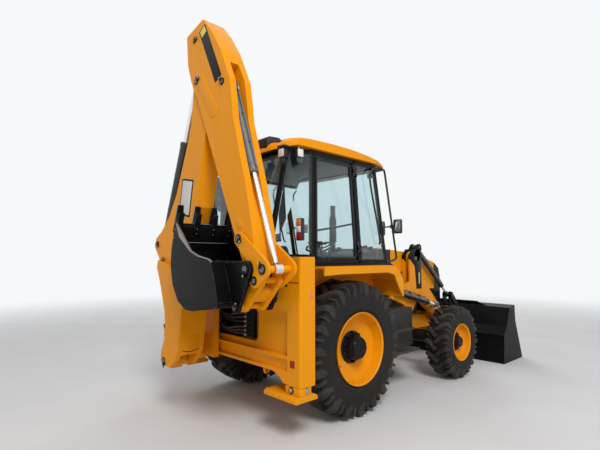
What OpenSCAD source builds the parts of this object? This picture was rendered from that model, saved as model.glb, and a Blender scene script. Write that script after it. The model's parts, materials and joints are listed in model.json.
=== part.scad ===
// Backhoe loader, parked: loader bucket on the ground, backhoe folded and slewed to the
// machine's right, stabilisers raised. Millimetres, +X forward, +Y left, +Z up.
// Lengths along X are written from the rear axle, and lengths along Y from the machine's
// middle plane; the last step moves the origin to the middle of the model's floor area.

/* [Machine] */
// Distance between the axles
wheelbase = 2170; // [2140:10:2200]
// Outer half width of the main frame rails
rail_y = 380; // [370:5:385]
// Width of one main frame rail
rail_w = 110; // [90:5:120]
// Underside of the main frame rails
rail_bottom = 600; // [595:5:610]
// Top of the main frame rails
rail_top = 800; // [790:5:830]

/* [Rear wheels] */
// Radius of a rear tyre over its lugs
rear_r = 711; // [700:1:715]
// Width of a rear tyre
rear_w = 430; // [420:5:435]
// Middle of a rear tyre from the machine's middle
rear_y = 860; // [855:5:870]
// Radius of the rear rim's flange
rear_rim_r = 381; // [376:1:386]
// Lugs along one side of a rear tyre
rear_lugs = 16; // [14:1:18]

/* [Front wheels] */
// Radius of a front tyre over its lugs
front_r = 495; // [488:1:500]
// Width of a front tyre
front_w = 320; // [310:5:325]
// Middle of a front tyre from the machine's middle
front_y = 950; // [945:5:960]
// Radius of the front rim's flange
front_rim_r = 254; // [250:1:258]
// Lugs along one side of a front tyre
front_lugs = 15; // [13:1:16]

/* [Cab] */
// Outer half width of the cab
cab_y = 850; // [840:5:860]
// Underside of the cab's sills
cab_bottom = 1600; // [1595:5:1610]
// Underside of the roof
cab_top = 2790; // [2780:5:2800]
// Width of a cab pillar
pillar = 60; // [50:5:65]
// Thickness of the window glass
glass_t = 6; // [5:1:8]
// Thickness of the cab's lower sheet walls
sheet = 40; // [30:5:45]

/* [Loader] */
// Half width of the loader bucket
bucket_y = 1175; // [1150:5:1200]
// Thickness of the loader bucket's plates
bucket_t = 20; // [16:1:24]
// Middle of a loader arm from the machine's middle
arm_y = 495; // [494:1:497]
// Width of a loader arm
arm_w = 70; // [60:2:72]

/* [Backhoe] */
// Slew pin behind the rear axle
slew_x = -1380; // [-1400:5:-1370]
// Slew pin to the left of the machine's middle, the carriage being shifted
slew_y = 500; // [480:5:510]
// Boom length between its pins
boom_len = 2925; // [2900:5:2950]
// Dipper length between its pins
dipper_len = 2117; // [2100:5:2130]
// Width of the boom
boom_w = 196; // [180:2:198]
// Outer width of the boom's foot fork
fork_w = 290; // [284:2:296]
// Width of the dipper
dipper_w = 240; // [236:2:244]
// Width of the backhoe bucket
dig_w = 640; // [620:5:645]

/* [Stabilisers] */
// Outer half width over the stabiliser boxes
leg_y = 1175; // [1170:5:1180]
// Size of a stabiliser box, front to rear and side to side
leg_box = 180; // [170:2:190]
// Rear face of the rear frame
frame_rear = -985; // [-990:5:-980]

/* [Hidden] */
$fn = 48;

yellow = [0.98, 0.66, 0.08];
black = [0.10, 0.10, 0.11];
grey = [0.45, 0.47, 0.50];
steel = [0.80, 0.82, 0.84];
glass = [0.62, 0.75, 0.78, 0.5];
rubber = [0.16, 0.16, 0.17];

// Gap beside a plate that swings past another, and radial gap of a pin in its bore
side_gap = 5;
pin_gap = 0.4;
touch = 0.3;

// Furthest points that set the origin in the middle of the floor area
lip_x = 4149;
tail_x = slew_x - dig_w / 2;
origin_x = (lip_x + tail_x) / 2;

// Box between two corners
module slab(low, high) {
    translate(low) cube(high - low);
}

// Side profile in X and Z, from one side distance to another
module profile(y0, y1, points) {
    translate([0, y1, 0]) rotate([90, 0, 0]) linear_extrude(y1 - y0) polygon(points);
}

// Side profile drawn by its 2D children in X and Z
module profile_of(y0, y1) {
    translate([0, y1, 0]) rotate([90, 0, 0]) linear_extrude(y1 - y0) children();
}

// Round bar along Y at a point of the side view
module bar_y(p, y0, y1, r) {
    translate([p[0], y1, p[1]]) rotate([90, 0, 0]) cylinder(r = r, h = y1 - y0);
}

// Round bar along X, at y and z
module bar_x(x0, x1, y, z, r) {
    translate([x0, y, z]) rotate([0, 90, 0]) cylinder(r = r, h = x1 - x0);
}

// Round bar between two points
module bar(p, q, r) {
    d = q - p;
    translate(p) rotate([0, acos(d[2] / norm(d)), atan2(d[1], d[0])])
        cylinder(r = r, h = norm(d));
}

// Both sides of the machine
module both() {
    children();
    mirror([0, 1, 0]) children();
}

// One side: +1 left, -1 right
module on_side(side) {
    if (side > 0) children();
    else mirror([0, 1, 0]) children();
}

// Place of a flat frame whose first axis points at an angle above +X
module at(p, angle) {
    translate([p[0], 0, p[1]]) rotate([0, -angle, 0]) children();
}

// A point of such a frame, in the frame that holds it
function from(p, angle, q) = [p[0] + q[0] * cos(angle) - q[1] * sin(angle),
    p[1] + q[0] * sin(angle) + q[1] * cos(angle)];
function angle_of(p, q) = atan2(q[1] - p[1], q[0] - p[0]);
function dist(p, q) = norm(q - p);

// Flat link with round ends, as a 2D shape
module link2d(p, q, r1, r2) {
    a = angle_of(p, q);
    t = acos((r1 - r2) / dist(p, q));
    function rim(c, r, b) = [c[0] + r * cos(b), c[1] + r * sin(b)];
    polygon([rim(p, r1, a + t), rim(p, r1, a - t), rim(q, r2, a - t), rim(q, r2, a + t)]);
    translate(p) circle(r1);
    translate(q) circle(r2);
}

// Wheels

// Tyre: half-section columns are share of the section height and share of the half width
tyre_section = [[0.00, 0.86], [0.07, 0.88], [0.16, 0.97], [0.42, 1.00], [0.80, 0.95], [1.00, 0.78]];
lug_h = 36;
lug_root = 30;
rear_lug_l = 228;
front_lug_l = 152;
tyre_seat = 0.3;

module tyre(r, w, rim_r, lugs, lug_l, lug_w, skew) {
    bead = rim_r - 12;
    high = r - lug_h - bead;
    outer = [for (s = tyre_section) [bead + tyre_seat + s[0] * high, s[1] * w / 2]];
    inner = [for (i = [len(tyre_section) - 1 : -1 : 0]) [outer[i][0], -outer[i][1]]];
    color(rubber) union() {
        rotate([90, 0, 0]) rotate_extrude($fn = 72) polygon(concat(outer, inner));
        for (side = [-1, 1], i = [0 : lugs - 1])
            rotate([0, (i + (side > 0 ? 0 : 0.5)) * 360 / lugs, 0])
                translate([0, side * w * 0.24, (lug_h + lug_root) / 2 - r])
                    rotate([0, 0, side * skew])
                        cube([lug_w, lug_l, lug_h + lug_root], center = true);
    }
}

module tyre_rear(side) {
    translate([0, side * rear_y, rear_r])
        tyre(rear_r, rear_w, rear_rim_r, rear_lugs, rear_lug_l, 56, 32);
}

module tyre_front(side) {
    translate([wheelbase, side * front_y, front_r])
        tyre(front_r, front_w, front_rim_r, front_lugs, front_lug_l, 44, 32);
}

// Rim, drawn for the left side: +Y is outward
rim_lip = 12;
rim_sheet = 10;
module rim(rim_r, w, disc_y, drum_r, drum_y, cap_r, cap_y, nuts, axle_r) {
    bore = axle_r + pin_gap;
    well = rim_r - rim_lip;
    color(yellow) union() {
        rotate([-90, 0, 0]) rotate_extrude($fn = 72) polygon([
            [well, -w / 2 + rim_lip], [rim_r, -w / 2 + rim_lip], [rim_r, -w / 2],
            [well - rim_sheet, -w / 2], [well - rim_sheet, disc_y - 24], [drum_r, disc_y - 24],
            [drum_r, disc_y], [well - rim_sheet - 30, disc_y + 12],
            [well - rim_sheet, disc_y + 60], [well - rim_sheet, w / 2], [rim_r, w / 2],
            [rim_r, w / 2 - rim_lip], [well, w / 2 - rim_lip]]);
        rotate([-90, 0, 0]) rotate_extrude() polygon([
            [bore, disc_y - 60], [drum_r, disc_y - 60], [drum_r, drum_y],
            [cap_r, drum_y + 8], [cap_r, cap_y], [0, cap_y], [0, drum_y - 20],
            [bore, drum_y - 20]]);
        for (i = [0 : nuts - 1]) rotate([0, i * 360 / nuts, 0])
            translate([drum_r * 1.22, disc_y - 2, 0]) rotate([-90, 0, 0])
                cylinder(r = 17, h = 26, $fn = 6);
    }
}

module rim_rear(side) {
    on_side(side) translate([0, rear_y, rear_r])
        rim(rear_rim_r, rear_w - 6, 20, 165, 150, 135, 190, 10, rear_shaft_r);
}

module rim_front(side) {
    on_side(side) translate([wheelbase, front_y, front_r])
        rim(front_rim_r, front_w - 8, 20, 110, 95, 90, 128, 8, spindle_r);
}

// Axles

kingpin_y = 720;
spindle_r = 44;
rear_shaft_r = 70;
kingpin_r = 22;
axle_r = 75;
axle_top = 662;
hub_in = 660;
module front_axle() {
    color(black) translate([wheelbase, 0, front_r]) difference() {
        union() {
            translate([0, -kingpin_y + 60, 0]) rotate([-90, 0, 0])
                cylinder(r = axle_r, h = 2 * kingpin_y - 120);
            translate([0, -60, 0]) rotate([-90, 0, 0]) cylinder(r = 150, h = 190);
            both() translate([0, kingpin_y, -85]) cylinder(r = 62, h = 170);
            slab([-120, -150, axle_r - 20], [120, 150, axle_top - front_r]);
            translate([-150, -230, 20]) rotate([-90, 0, 0]) cylinder(r = 32, h = 460);
            translate([-150, -330, 20]) rotate([-90, 0, 0]) cylinder(r = 16, h = 660);
            for (y = [-150, 110]) slab([-160, y, 0], [-40, y + 40, 40]);
        }
        both() translate([0, kingpin_y, -90]) cylinder(r = kingpin_r + pin_gap, h = 180);
    }
}

module knuckle(side) {
    on_side(side) color(black) translate([wheelbase, kingpin_y, front_r]) union() {
        both_z() translate([0, 0, 92]) cylinder(r = 58, h = 26);
        both_z() slab([-50, 20, 92], [50, 112, 118]);
        slab([-50, 72, -118], [50, 112, 118]);
        translate([0, 112 - touch, 0]) rotate([-90, 0, 0]) cylinder(r = 60, h = 70);
        translate([0, 112 - touch, 0]) rotate([-90, 0, 0])
            cylinder(r = spindle_r, h = front_y + 60 - kingpin_y - 112);
        both_z() translate([0, 0, 60]) cylinder(r = kingpin_r, h = 40);
        slab([-190, -20, 96], [-40, 20, 114]);
    }
}

module both_z() {
    children();
    mirror([0, 0, 1]) children();
}

rear_tube_r = 95;
module rear_axle() {
    color(black) translate([0, 0, rear_r]) union() {
        rotate([-90, 0, 0]) translate([0, 0, -hub_in - 20])
            cylinder(r = rear_tube_r, h = 2 * hub_in + 40);
        rotate([-90, 0, 0]) translate([0, 0, -190]) cylinder(r = 190, h = 380);
        both() translate([0, hub_in + 20, 0]) rotate([-90, 0, 0])
            cylinder(r = 84, h = rear_y - 55 - hub_in - 20);
        both() translate([0, hub_in + 20, 0]) rotate([-90, 0, 0])
            cylinder(r = rear_shaft_r, h = rear_y + 110 - hub_in - 20);
    }
}

// Main frame

tower_x0 = 1740;
tower_x1 = 2040;
tower_top = 1790;
plate = 25;
arm_pin = [1900, 1660];
lift_pin = [1320, 1205];
lift_eye = [2330, 960];
lift_y = 615;
pin_r = 30;
arm_in = arm_y - arm_w / 2 - side_gap;
arm_out = arm_y + arm_w / 2 + side_gap;
tower_profile = [[1560, 640], [1640, 640], [1730, 860], [1880, 1010], [tower_x1, 1180],
    [tower_x1, tower_top - 60], [1980, tower_top], [1830, tower_top], [tower_x0, 1700],
    [tower_x0, 1330], [1560, 1290]];

// Underside of the cab's floor
cab_floor = 1000;

// Cross member that the engine rests on, and the rubber mounts under the cab's floor
engine_bed = 696;
mount_r = 38;
module chassis() {
    color(yellow) difference() {
        union() {
            both() slab([frame_rear + 285, rail_y - rail_w, rail_bottom],
                [2740, rail_y, rail_top]);
            for (x = [-560, 640, 1370]) slab([x, -rail_y + 10, rail_bottom + 20],
                [x + 90, rail_y - 10, rail_top - 40]);
            slab([2620, -rail_y + 10, rail_bottom], [2740, rail_y - 10, rail_top]);
            both() tie_down(2680, 300, 562);
            slab([2070, -rail_y + 10, axle_top + touch], [2270, rail_y - 10, engine_bed]);
            both() for (x = [-540, 600]) translate([x, rail_y - rail_w / 2, rail_top - 10])
                cylinder(r = mount_r, h = cab_floor - touch - rail_top + 10);
            for (y = [arm_in - plate, arm_out]) both() profile_of(y, y + plate) union() {
                polygon(tower_profile);
                link2d([1940, 1700], tip_pin, 80, 56);
            }
            both() bar_y(tip_pin, arm_in - 10, arm_out + 10, tip_pin_r);
            both() profile(arm_in - 20, arm_out + 20, [[1560, 1000], [1640, 1000], [1640, 1290],
                [1560, 1290]]);
            both() slab([1580, rail_y - 20, 660], [1700, arm_out + 10, 780]);
            both() bar_y(arm_pin, arm_in - 10, arm_out + 10, pin_r);
            both() profile(arm_out, lift_y - 42, [[1250, 1120], [1600, 1000], [1600, 1240],
                [1300, 1270], [1250, 1240]]);
            both() bar_y(lift_pin, lift_y - 50, lift_y + 44, pin_r);
        }
        translate([0, rail_y + 10, rear_r]) rotate([90, 0, 0])
            cylinder(r = rear_tube_r + touch, h = 2 * rail_y + 20);
    }
}

engine_x0 = 1480;
engine_x1 = 2380;
module engine() {
    color(grey) slab([engine_x0, -rail_y + rail_w + 8, engine_bed + touch],
        [engine_x1, rail_y - rail_w - 8, 1480]);
}

// Bonnet and nose

bonnet_y = 420;
bonnet_t = 20;
nose_y = bonnet_y - bonnet_t - 6;
bonnet_rear = 1180;
bonnet_front = 2640;
bonnet_side = [[bonnet_rear, 1800], [2050, 1740], [bonnet_front, 1600], [bonnet_front, 1180],
    [2200, 1200], [bonnet_rear, 1560]];
hood_hinge = [1172, 1812];
hood_hinge_r = 12;
hood_hinge_y = 250;
hood_pin_r = 6;
module bonnet() {
    color(yellow) both() union() {
        bar_y(hood_hinge, hood_hinge_y, hood_hinge_y + 40, hood_hinge_r);
        bar_y(hood_hinge, hood_hinge_y + 30, hood_hinge_y + 80, hood_pin_r);
        slab([hood_hinge[0], hood_hinge_y, 1797], [hood_hinge[0] + 40, hood_hinge_y + 40, 1806]);
    }
    color(yellow) difference() {
        profile(-bonnet_y, bonnet_y, bonnet_side);
        profile(-bonnet_y + bonnet_t, bonnet_y - bonnet_t, [[bonnet_rear + bonnet_t, 1800 - bonnet_t],
            [2050, 1740 - bonnet_t], [bonnet_front + 10, 1600 - bonnet_t - 3],
            [bonnet_front + 10, 900], [bonnet_rear + bonnet_t, 900]]);
    }
}

module nose() {
    color(black) difference() {
        union() {
            profile(-nose_y, nose_y, [[2740 + touch, 620], [2860, 620], [2880, 700], [2880, 1360],
                [2840, 1500], [2700, 1590], [bonnet_front + 6, 1596], [bonnet_front + 6, 820], [2740 + touch, 820]]);
        }
        for (i = [0 : 7]) slab([2868, -320, 780 + i * 66], [2900, 320, 812 + i * 66]);
    }
}

// Rear wheel covers

fender_out = 1070;
// Ledge under the cab sides that the covers hang from
ledge_t = 20;
fender_in = 612;
fender_t = 20;
fender_top = cab_bottom - ledge_t - touch;
fender_line = [[-560, fender_top], [620, fender_top], [720, fender_top - 60], [800, 1400],
    [800, 1210]];
module fenders() {
    color(yellow) both() union() {
        profile(fender_in, fender_out, concat(fender_line,
            [[800 - fender_t, 1210], [800 - fender_t, 1395], [706, fender_top - 78],
            [610, fender_top - fender_t], [-560, fender_top - fender_t]]));
        profile(fender_in, fender_in + fender_t, [[-560, fender_top - 5], [-560, 1100],
            [-500, 1100], [-420, 1300], [0, 1430], [420, 1360], [600, 1200], [795, 1210],
            [795, 1395], [706, fender_top - 70], [610, fender_top - 5]]);
        profile(fender_out - fender_t, fender_out, [[-560, fender_top - 5], [-560, 1490],
            [-300, 1500], [500, 1500], [620, 1470], [700, 1330], [780, 1215], [795, 1395],
            [706, fender_top - 70], [610, fender_top - 5]]);
    }
}

// Fuel tank and battery box with steps

module tanks() {
    color(black) both() union() {
        slab([880, rail_y + 10, 500], [1520, 720, 1000]);
        slab([900, 700, 470], [1400, 900, 500]);
        slab([900, rail_y + 60, 470], [930, 720, 520]);
        slab([860, 720 - 10, 740], [1330, 880, 765]);
        slab([860, rail_y, 560], [900, 560, 700]);
    }
}

// Cab

cab_rear = -560;
cab_front = 720;
door_rear = -470;
door_front = 220;
screen_top = 560;
glass_gap = 2;
corner_y = 560;
corner_x = -800;
sill_h = 60;

module post(x_low, x_high, y, w) {
    profile(y - pillar, y, [[x_low, cab_bottom], [x_low + w, cab_bottom],
        [x_high + w, cab_top], [x_high, cab_top]]);
}

module cab_frame() {
    color(black) union() {
        both() post(-560, -560, cab_y, 80);
        both() post(door_front + 10, door_front - 90, cab_y, 60);
        both() post(cab_front - pillar, screen_top - pillar, cab_y, pillar);
        both() slab([cab_rear, cab_y - pillar, cab_bottom], [cab_front, cab_y, cab_bottom + sill_h - 20]);
        both() slab([cab_rear, cab_y - pillar, cab_top - 50], [screen_top, cab_y, cab_top]);
        slab([cab_front - pillar, -cab_y, cab_bottom], [cab_front, cab_y, cab_bottom + sill_h]);
        slab([screen_top - pillar, -cab_y, cab_top - 50], [screen_top, cab_y, cab_top]);
        both() translate([corner_x, corner_y - pillar, cab_bottom]) cube([pillar, pillar, cab_top - cab_bottom]);
        slab([corner_x, -corner_y, cab_bottom], [corner_x + pillar, corner_y, cab_bottom + sill_h]);
        slab([corner_x, -corner_y, cab_top - 50], [corner_x + pillar, corner_y, cab_top]);
        both() for (z = [cab_bottom, cab_top - 50]) translate([0, 0, z])
            linear_extrude(50) polygon([[corner_x, corner_y], [corner_x + pillar, corner_y - pillar],
                [cab_rear + 20, cab_y - pillar - 30], [cab_rear + 30, cab_y], [cab_rear, cab_y]]);
        difference() {
            union() {
                slab([-620, -560, cab_floor], [cab_front, 560, cab_floor + 30]);
                both() slab([-620, 560 - sheet, cab_floor], [cab_front, 600, cab_bottom]);
                slab([cab_front - sheet, -600, cab_floor], [cab_front, 600, cab_bottom + 10]);
                slab([-620, -600, cab_floor], [-620 + sheet, 600, cab_bottom]);
            }
            slab([corner_x, -2000, cab_bottom - 0.1], [cab_front + 1, -600, cab_bottom]);
        }
        door_hinges();
        both() slab([-620, 560, cab_bottom - ledge_t], [cab_front, cab_y, cab_bottom + 2]);
        slab([corner_x, -corner_y, cab_bottom - ledge_t], [-600, corner_y, cab_bottom + 2]);
    }
}

roof_rear = -900;
roof_front = 860;
roof_y = 880;
module cab_roof() {
    color(yellow) profile(-roof_y, roof_y, [[roof_rear, cab_top], [roof_front - 60, cab_top],
        [roof_front, cab_top - 20], [roof_front, cab_top + 30], [300, cab_top + 130],
        [-500, cab_top + 160], [-800, cab_top + 130], [roof_rear, cab_top + 50]]);
}

// Cowl between the cab and the bonnet, with the bonnet's hinge brackets and the exhaust stack
cowl_y = 400;
cowl_t = 20;
cowl_x = [cab_front + touch, 1172];
stack = [1040, 290];
stack_r = 38;
module cowl() {
    color(black) union() {
        difference() {
            profile(-cowl_y, cowl_y, [[cowl_x[0], 1050], [1020, 1120], [cowl_x[1], 1300], [cowl_x[1], 1776],
                [760, 1716], [cowl_x[0], 1690]]);
            profile(-cowl_y + cowl_t, cowl_y - cowl_t, [[cowl_x[0] + cowl_t, 1000], [1000, 1090], [1100, 1180],
                [1300, 1320], [1300, 1758], [1160, 1756], [764, 1694], [cowl_x[0] + cowl_t, 1668]]);
        }
        both() for (y = [hood_hinge_y + 42, hood_hinge_y + 66]) difference() {
            union() {
                bar_y(hood_hinge, y, y + 14, hood_hinge_r);
                slab([hood_hinge[0] - 34, y, 1760], [hood_hinge[0] - 10, y + 14, 1806]);
                slab([hood_hinge[0] - 14, y, 1796], [hood_hinge[0], y + 14, 1812]);
            }
            bar_y(hood_hinge, y - 5, y + 20, hood_pin_r + pin_gap);
        }
        translate([stack[0], stack[1], 1745]) cylinder(r = stack_r, h = 690);
        translate([stack[0], stack[1], 1740]) cylinder(r = stack_r + 34, h = 40);
        translate([stack[0], stack[1], 1900]) cylinder(r = stack_r + 14, h = 360);
    }
}

module cab_glass() {
    z0 = cab_bottom + sill_h;
    z1 = cab_top - 50;
    in_y = cab_y - pillar / 2;
    color(glass) union() {
        both() profile(in_y - glass_t, in_y, [[door_front + 75, z0 - 20 + touch], [cab_front - pillar - 12, z0 - 20 + touch],
            [screen_top - pillar - 1, z1 - touch], [door_front - 20, z1 - touch]]);
        profile(-cab_y + pillar + touch, cab_y - pillar - touch, [[cab_front - 34, z0 + touch], [cab_front - 34 + glass_t, z0 + touch],
            [screen_top - 34 + glass_t, z1 - touch], [screen_top - 34, z1 - touch]]);
        slab([corner_x + 20, -corner_y + pillar + touch, z0 + touch],
            [corner_x + 20 + glass_t, corner_y - pillar - touch, z1 - touch]);
        both() translate([0, 0, cab_bottom + 50 + touch]) linear_extrude(z1 - cab_bottom - 50 - 2 * touch)
            polygon([[corner_x + 36, corner_y + 4], [corner_x + 42, corner_y - 0],
                [cab_rear - 4, cab_y - 42], [cab_rear - 4, cab_y - 34]]);
    }
}

// Doors, hinged at their front edges
door_y = cab_y;
door_t = 40;
door_z0 = cab_bottom + 45;
door_z1 = cab_top - 56;
hinge_x = door_front + 20;
hinge_out = 28;
door_shape = [[door_rear, door_z0], [door_front - 4, door_z0], [door_front - 100, door_z1],
    [door_rear, door_z1]];
door_hole = [[door_rear + 40, door_z0 + 40], [door_front - 48, door_z0 + 40],
    [door_front - 136, door_z1 - 36], [door_rear + 40, door_z1 - 36]];

// A point of the leaning hinge axis at a height
function hinge_at(z) = [246 - 96 / 1089 * (z - 1645), cab_y + 34, z];
hinge_z = [1720, 2600];

module door(side) {
    on_side(side) color(black) union() {
        difference() {
            profile(door_y - door_t, door_y, door_shape);
            profile(door_y - door_t - 1, door_y + 1, door_hole);
        }
        for (z = hinge_z) {
            bar(hinge_at(z + 29), hinge_at(z + 60), 14);
            bar(hinge_at(z + 3), hinge_at(z + 40), 6);
            translate(hinge_at(z + 44)) union() {
                slab([-64, -38, -12], [-34, 12, 12]);
                slab([-40, -8, -12], [0, 12, 12]);
            }
        }
    }
}

module door_hinges() {
    both() for (z = hinge_z) difference() {
        union() {
            bar(hinge_at(z), hinge_at(z + 28), 14);
            translate(hinge_at(z + 14)) slab([-8, -36, -13], [12, 0, 13]);
        }
        bar(hinge_at(z - 5), hinge_at(z + 33), 6 + pin_gap);
    }
}

module door_glass(side) {
    mid = door_y - door_t / 2;
    on_side(side) color(glass) profile(mid - glass_t / 2, mid + glass_t / 2,
        [[door_rear + 40 + touch, door_z0 + 40 + touch], [door_front - 48 - touch, door_z0 + 40 + touch],
        [door_front - 136 - touch, door_z1 - 36 - touch], [door_rear + 40 + touch, door_z1 - 36 - touch]]);
}

module seat() {
    color(black) union() {
        slab([-260, -200, 1030 + touch], [180, 200, 1200]);
        slab([-300, -250, 1200], [240, 250, 1330]);
        profile(-250, 250, [[-300, 1330], [-190, 1330], [-300, 1980], [-400, 1980]]);
    }
}

module console() {
    color(black) union() {
        profile(-180, 180, [[560, 1030 + touch], [cab_front - sheet - touch, 1030 + touch],
            [cab_front - sheet - touch, 1590], [655, 1597], [600, 1612]]);
        bar([600, 0, 1500], [470, 0, 1780], 28);
        translate([462, 0, 1796]) rotate([0, -25, 0]) rotate_extrude() translate([185, 0]) circle(14);
        translate([462, 0, 1796]) rotate([0, -25, 0]) union() {
            for (a = [90, 210, 330]) rotate([0, 0, a]) slab([0, -14, -8], [186, 14, 8]);
            translate([0, 0, -20]) cylinder(r = 44, h = 34);
        }
    }
}

// Lamps: work lamps with a small round one under each, at the roof's corners, tail lamps on
// the corner posts, and head lamps on the nose
lens = [0.95, 0.93, 0.88];
module lamps() {
    color(lens) both() union() {
        slab([-845, 700, 2688], [-797, 778, 2768]);
        slab([-830, 728, 2640], [-808, 750, cab_top - touch]);
        bar_x(-838, -804, 739, 2652, 30);
    }
    color(lens) both() union() {
        slab([-738, 832, 2688], [-662, 876, 2768]);
        slab([-711, 846, 2640], [-689, 864, cab_top - touch]);
        bar_y([-700, 2652], 840, 872, 30);
    }
    color(lens) both() slab([740, 590, 2700], [790, 700, cab_top - touch]);
    color(lens) both() slab([2880 + touch, 230, 1288], [2900, 370, 1352]);
    color([0.8, 0.2, 0.1]) both() union() {
        slab([-675, cab_y - 45, 1838], [-620, cab_y + 25, 2073]);
        slab([-630, cab_y - 24, 1900], [cab_rear - touch, cab_y - 12, 2020]);
    }
}

// Mirror stays: a bent tube in front of each door, through these points
mirror_tube = [[screen_top - 30, cab_y + 14, 2700], [screen_top + 90, cab_y + 60, 2740],
    [900, cab_y + 60, 1660], [800, cab_y - 40, 1606]];
module mirrors() {
    color(black) both() union() {
        for (i = [0 : 2]) bar(mirror_tube[i], mirror_tube[i + 1], 13);
        for (i = [1, 2]) translate(mirror_tube[i]) sphere(r = 16);
        slab([785, cab_y + 66, 1960], [825, cab_y + 205, 2140]);
        slab([screen_top - 46, cab_y + touch, 2680], [screen_top - 10, cab_y + 20, 2716]);
    }
}

// Loader

arm_line = [[1990, 1500], [2100, 1400], [2600, 925], [2840, 740], [3040, 690], [3180, 610],
    [3296, 470], [3372, 345], [3300, 240], [3250, 290], [3200, 400], [3110, 500], [3040, 468], [2920, 468],
    [2780, 572], [2500, 752], [2160, 960], [1890, 1330], [1796, 1620], [1850, 1700]];
tip_pin = [2000, 1815];
tip_pin_r = 20;
lever_pin = [2960, 600];
lever_eye = [2925, 1075];
dump_pin = [3330, 290];
dump_eye = [dump_pin[0] + 290 * cos(80), dump_pin[1] + 290 * sin(80)];
eye_pin_r = 22;
link_t = 18;
ram_r = 42;
rod_r = 24;
eye_r = 48;
lever_t = 20;

module loader_arms() {
    color(yellow) difference() {
        union() {
            both() profile_of(arm_y - arm_w / 2, arm_y + arm_w / 2) union() {
                polygon(arm_line);
                translate(arm_pin) circle(104);
                translate(lever_pin) circle(82);
                translate(dump_pin) circle(78);
            }
            slab([2925, -arm_y, 452], [3030, arm_y, 528]);
            both() bar_y(lift_eye, arm_y, lift_y - 37, 44);
            both() bar_y(lever_pin, arm_y - arm_w / 2 - side_gap - lever_t - 6,
                arm_y + arm_w / 2 + side_gap + lever_t + 6, pin_r);
        }
        both() bar_y(arm_pin, arm_in - 40, arm_out + 40, pin_r + pin_gap);
        both() bar_y(dump_pin, arm_in - 40, arm_out + 40, pin_r + pin_gap);
    }
}

bucket_outline = [[3690, 854], [3896, 886], [3902, 632], [lip_x, 0], [3393, 0], [3432, 438],
    [3546, 563]];
bucket_inside = [[3712, 836], [3990, 900], [3990, 640], [4300, bucket_t], [3415, bucket_t],
    [3452, 430], [3564, 552]];
ear_t = 20;
link_y0 = arm_out + lever_t + side_gap;
link_y1 = link_y0 + link_t;
module loader_bucket() {
    color(black) difference() {
        union() {
            difference() {
                profile(-bucket_y, bucket_y, bucket_outline);
                profile(-bucket_y + bucket_t, bucket_y - bucket_t, bucket_inside);
            }
            across(3694, 3710) polygon([[-840, 845], [-620, 925], [620, 925], [840, 845]]);
            both() for (y = [arm_in - ear_t, arm_out]) profile_of(y, y + ear_t) union() {
                translate(dump_pin) circle(56);
                polygon([dump_pin + [-20, 50], dump_pin + [-20, -50], [3470, 150], [3470, 350]]);
            }
            both() profile_of(link_y1 + side_gap, link_y1 + side_gap + ear_t) union() {
                translate(dump_eye) circle(46);
                polygon([dump_eye + [-36, -24], [3466, 330], [3600, 590], dump_eye + [-16, 40]]);
            }
        }
        profile(-bucket_y + bucket_t, bucket_y - bucket_t, bucket_inside);
    }
    color(steel) both() bar_y(dump_pin, arm_in - ear_t + 1, arm_out + ear_t - 1, pin_r);
    color(steel) both() bar_y(dump_eye, link_y1 + side_gap + 2, link_y1 + side_gap + ear_t + 8, eye_pin_r);
}

function along(p, q, d) = p + d * (q - p) / dist(p, q);

// Ram along a line from the barrel's pin to the rod's eye, in the side view
module barrel(p, q, y, length, r, eye, eye_w, bore) {
    color(black) difference() {
        union() {
            bar([p[0], y, p[1]], [along(p, q, length)[0], y, along(p, q, length)[1]], r);
            bar_y(p, y - eye_w / 2, y + eye_w / 2, eye);
        }
        bar_y(p, y - eye_w, y + eye_w, bore);
        bar([along(p, q, eye + 20)[0], y, along(p, q, eye + 20)[1]],
            [along(p, q, length + 5)[0], y, along(p, q, length + 5)[1]], rod_of(r) + pin_gap);
    }
}
function rod_of(r) = round(r * 0.58);

module rod(p, q, y, start, r, eye, eye_w) {
    color(steel) union() {
        bar([along(p, q, start)[0], y, along(p, q, start)[1]], [q[0], y, q[1]], rod_of(r));
        bar_y(q, y - eye_w / 2, y + eye_w / 2, eye);
    }
}

module lift_barrels() {
    both() barrel(lift_pin, lift_eye, lift_y, 810, ram_r, 54, 60, pin_r + pin_gap);
}
module lift_rods() {
    both() rod(lift_pin, lift_eye, lift_y, 110, ram_r, eye_r, 66);
}
module tip_barrels() {
    both() barrel(tip_pin, lever_eye, arm_y, 960, 34, 46, 46, tip_pin_r + pin_gap);
}
module tip_rods() {
    both() rod(tip_pin, lever_eye, arm_y, 244, 34, 42, 46);
}

module tip_levers() {
    color(black) both() difference() {
        union() {
            for (y = [arm_in - lever_t, arm_out]) profile_of(y, y + lever_t)
                link2d(lever_pin, lever_eye, 64, 50);
            bar_y(lever_eye, arm_in - 10, arm_y - 27, 26);
            bar_y(lever_eye, arm_y + 27, arm_out + 10, 26);
            bar_y(lever_eye, arm_out, link_y1 + 4, eye_pin_r);
        }
        bar_y(lever_pin, arm_in - 100, arm_out + 100, pin_r + pin_gap);
    }
}

module tip_links() {
    color(black) both() difference() {
        profile_of(link_y0, link_y1) link2d(lever_eye, dump_eye, 42, 42);
        bar_y(lever_eye, link_y0 - 5, link_y1 + 5, eye_pin_r + pin_gap);
    }
}

// Rear frame and stabilisers

leg_in = leg_y - leg_box;
leg_x1 = frame_rear + leg_box;
leg_low = 520;
corner_r = 30;
leg_high = 1677;
wall = 14;
slide_gap = touch;
pad_low = 390;
leg_foot = 450;
rail_u0 = 1180;
rail_u1 = 1390;
rail_l0 = 610;
rail_l1 = 770;
rail_x1 = frame_rear + 120;
flange = 28;
window_y = 490;
window_z = [826, 1150];
window_r = 60;
tie_hole_r = 17;
tie_t = 25;

// Shape drawn in Y and Z, from one X to another
module across(x0, x1) {
    translate([x0, 0, 0]) rotate([90, 0, 90]) linear_extrude(x1 - x0) children();
}

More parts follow.
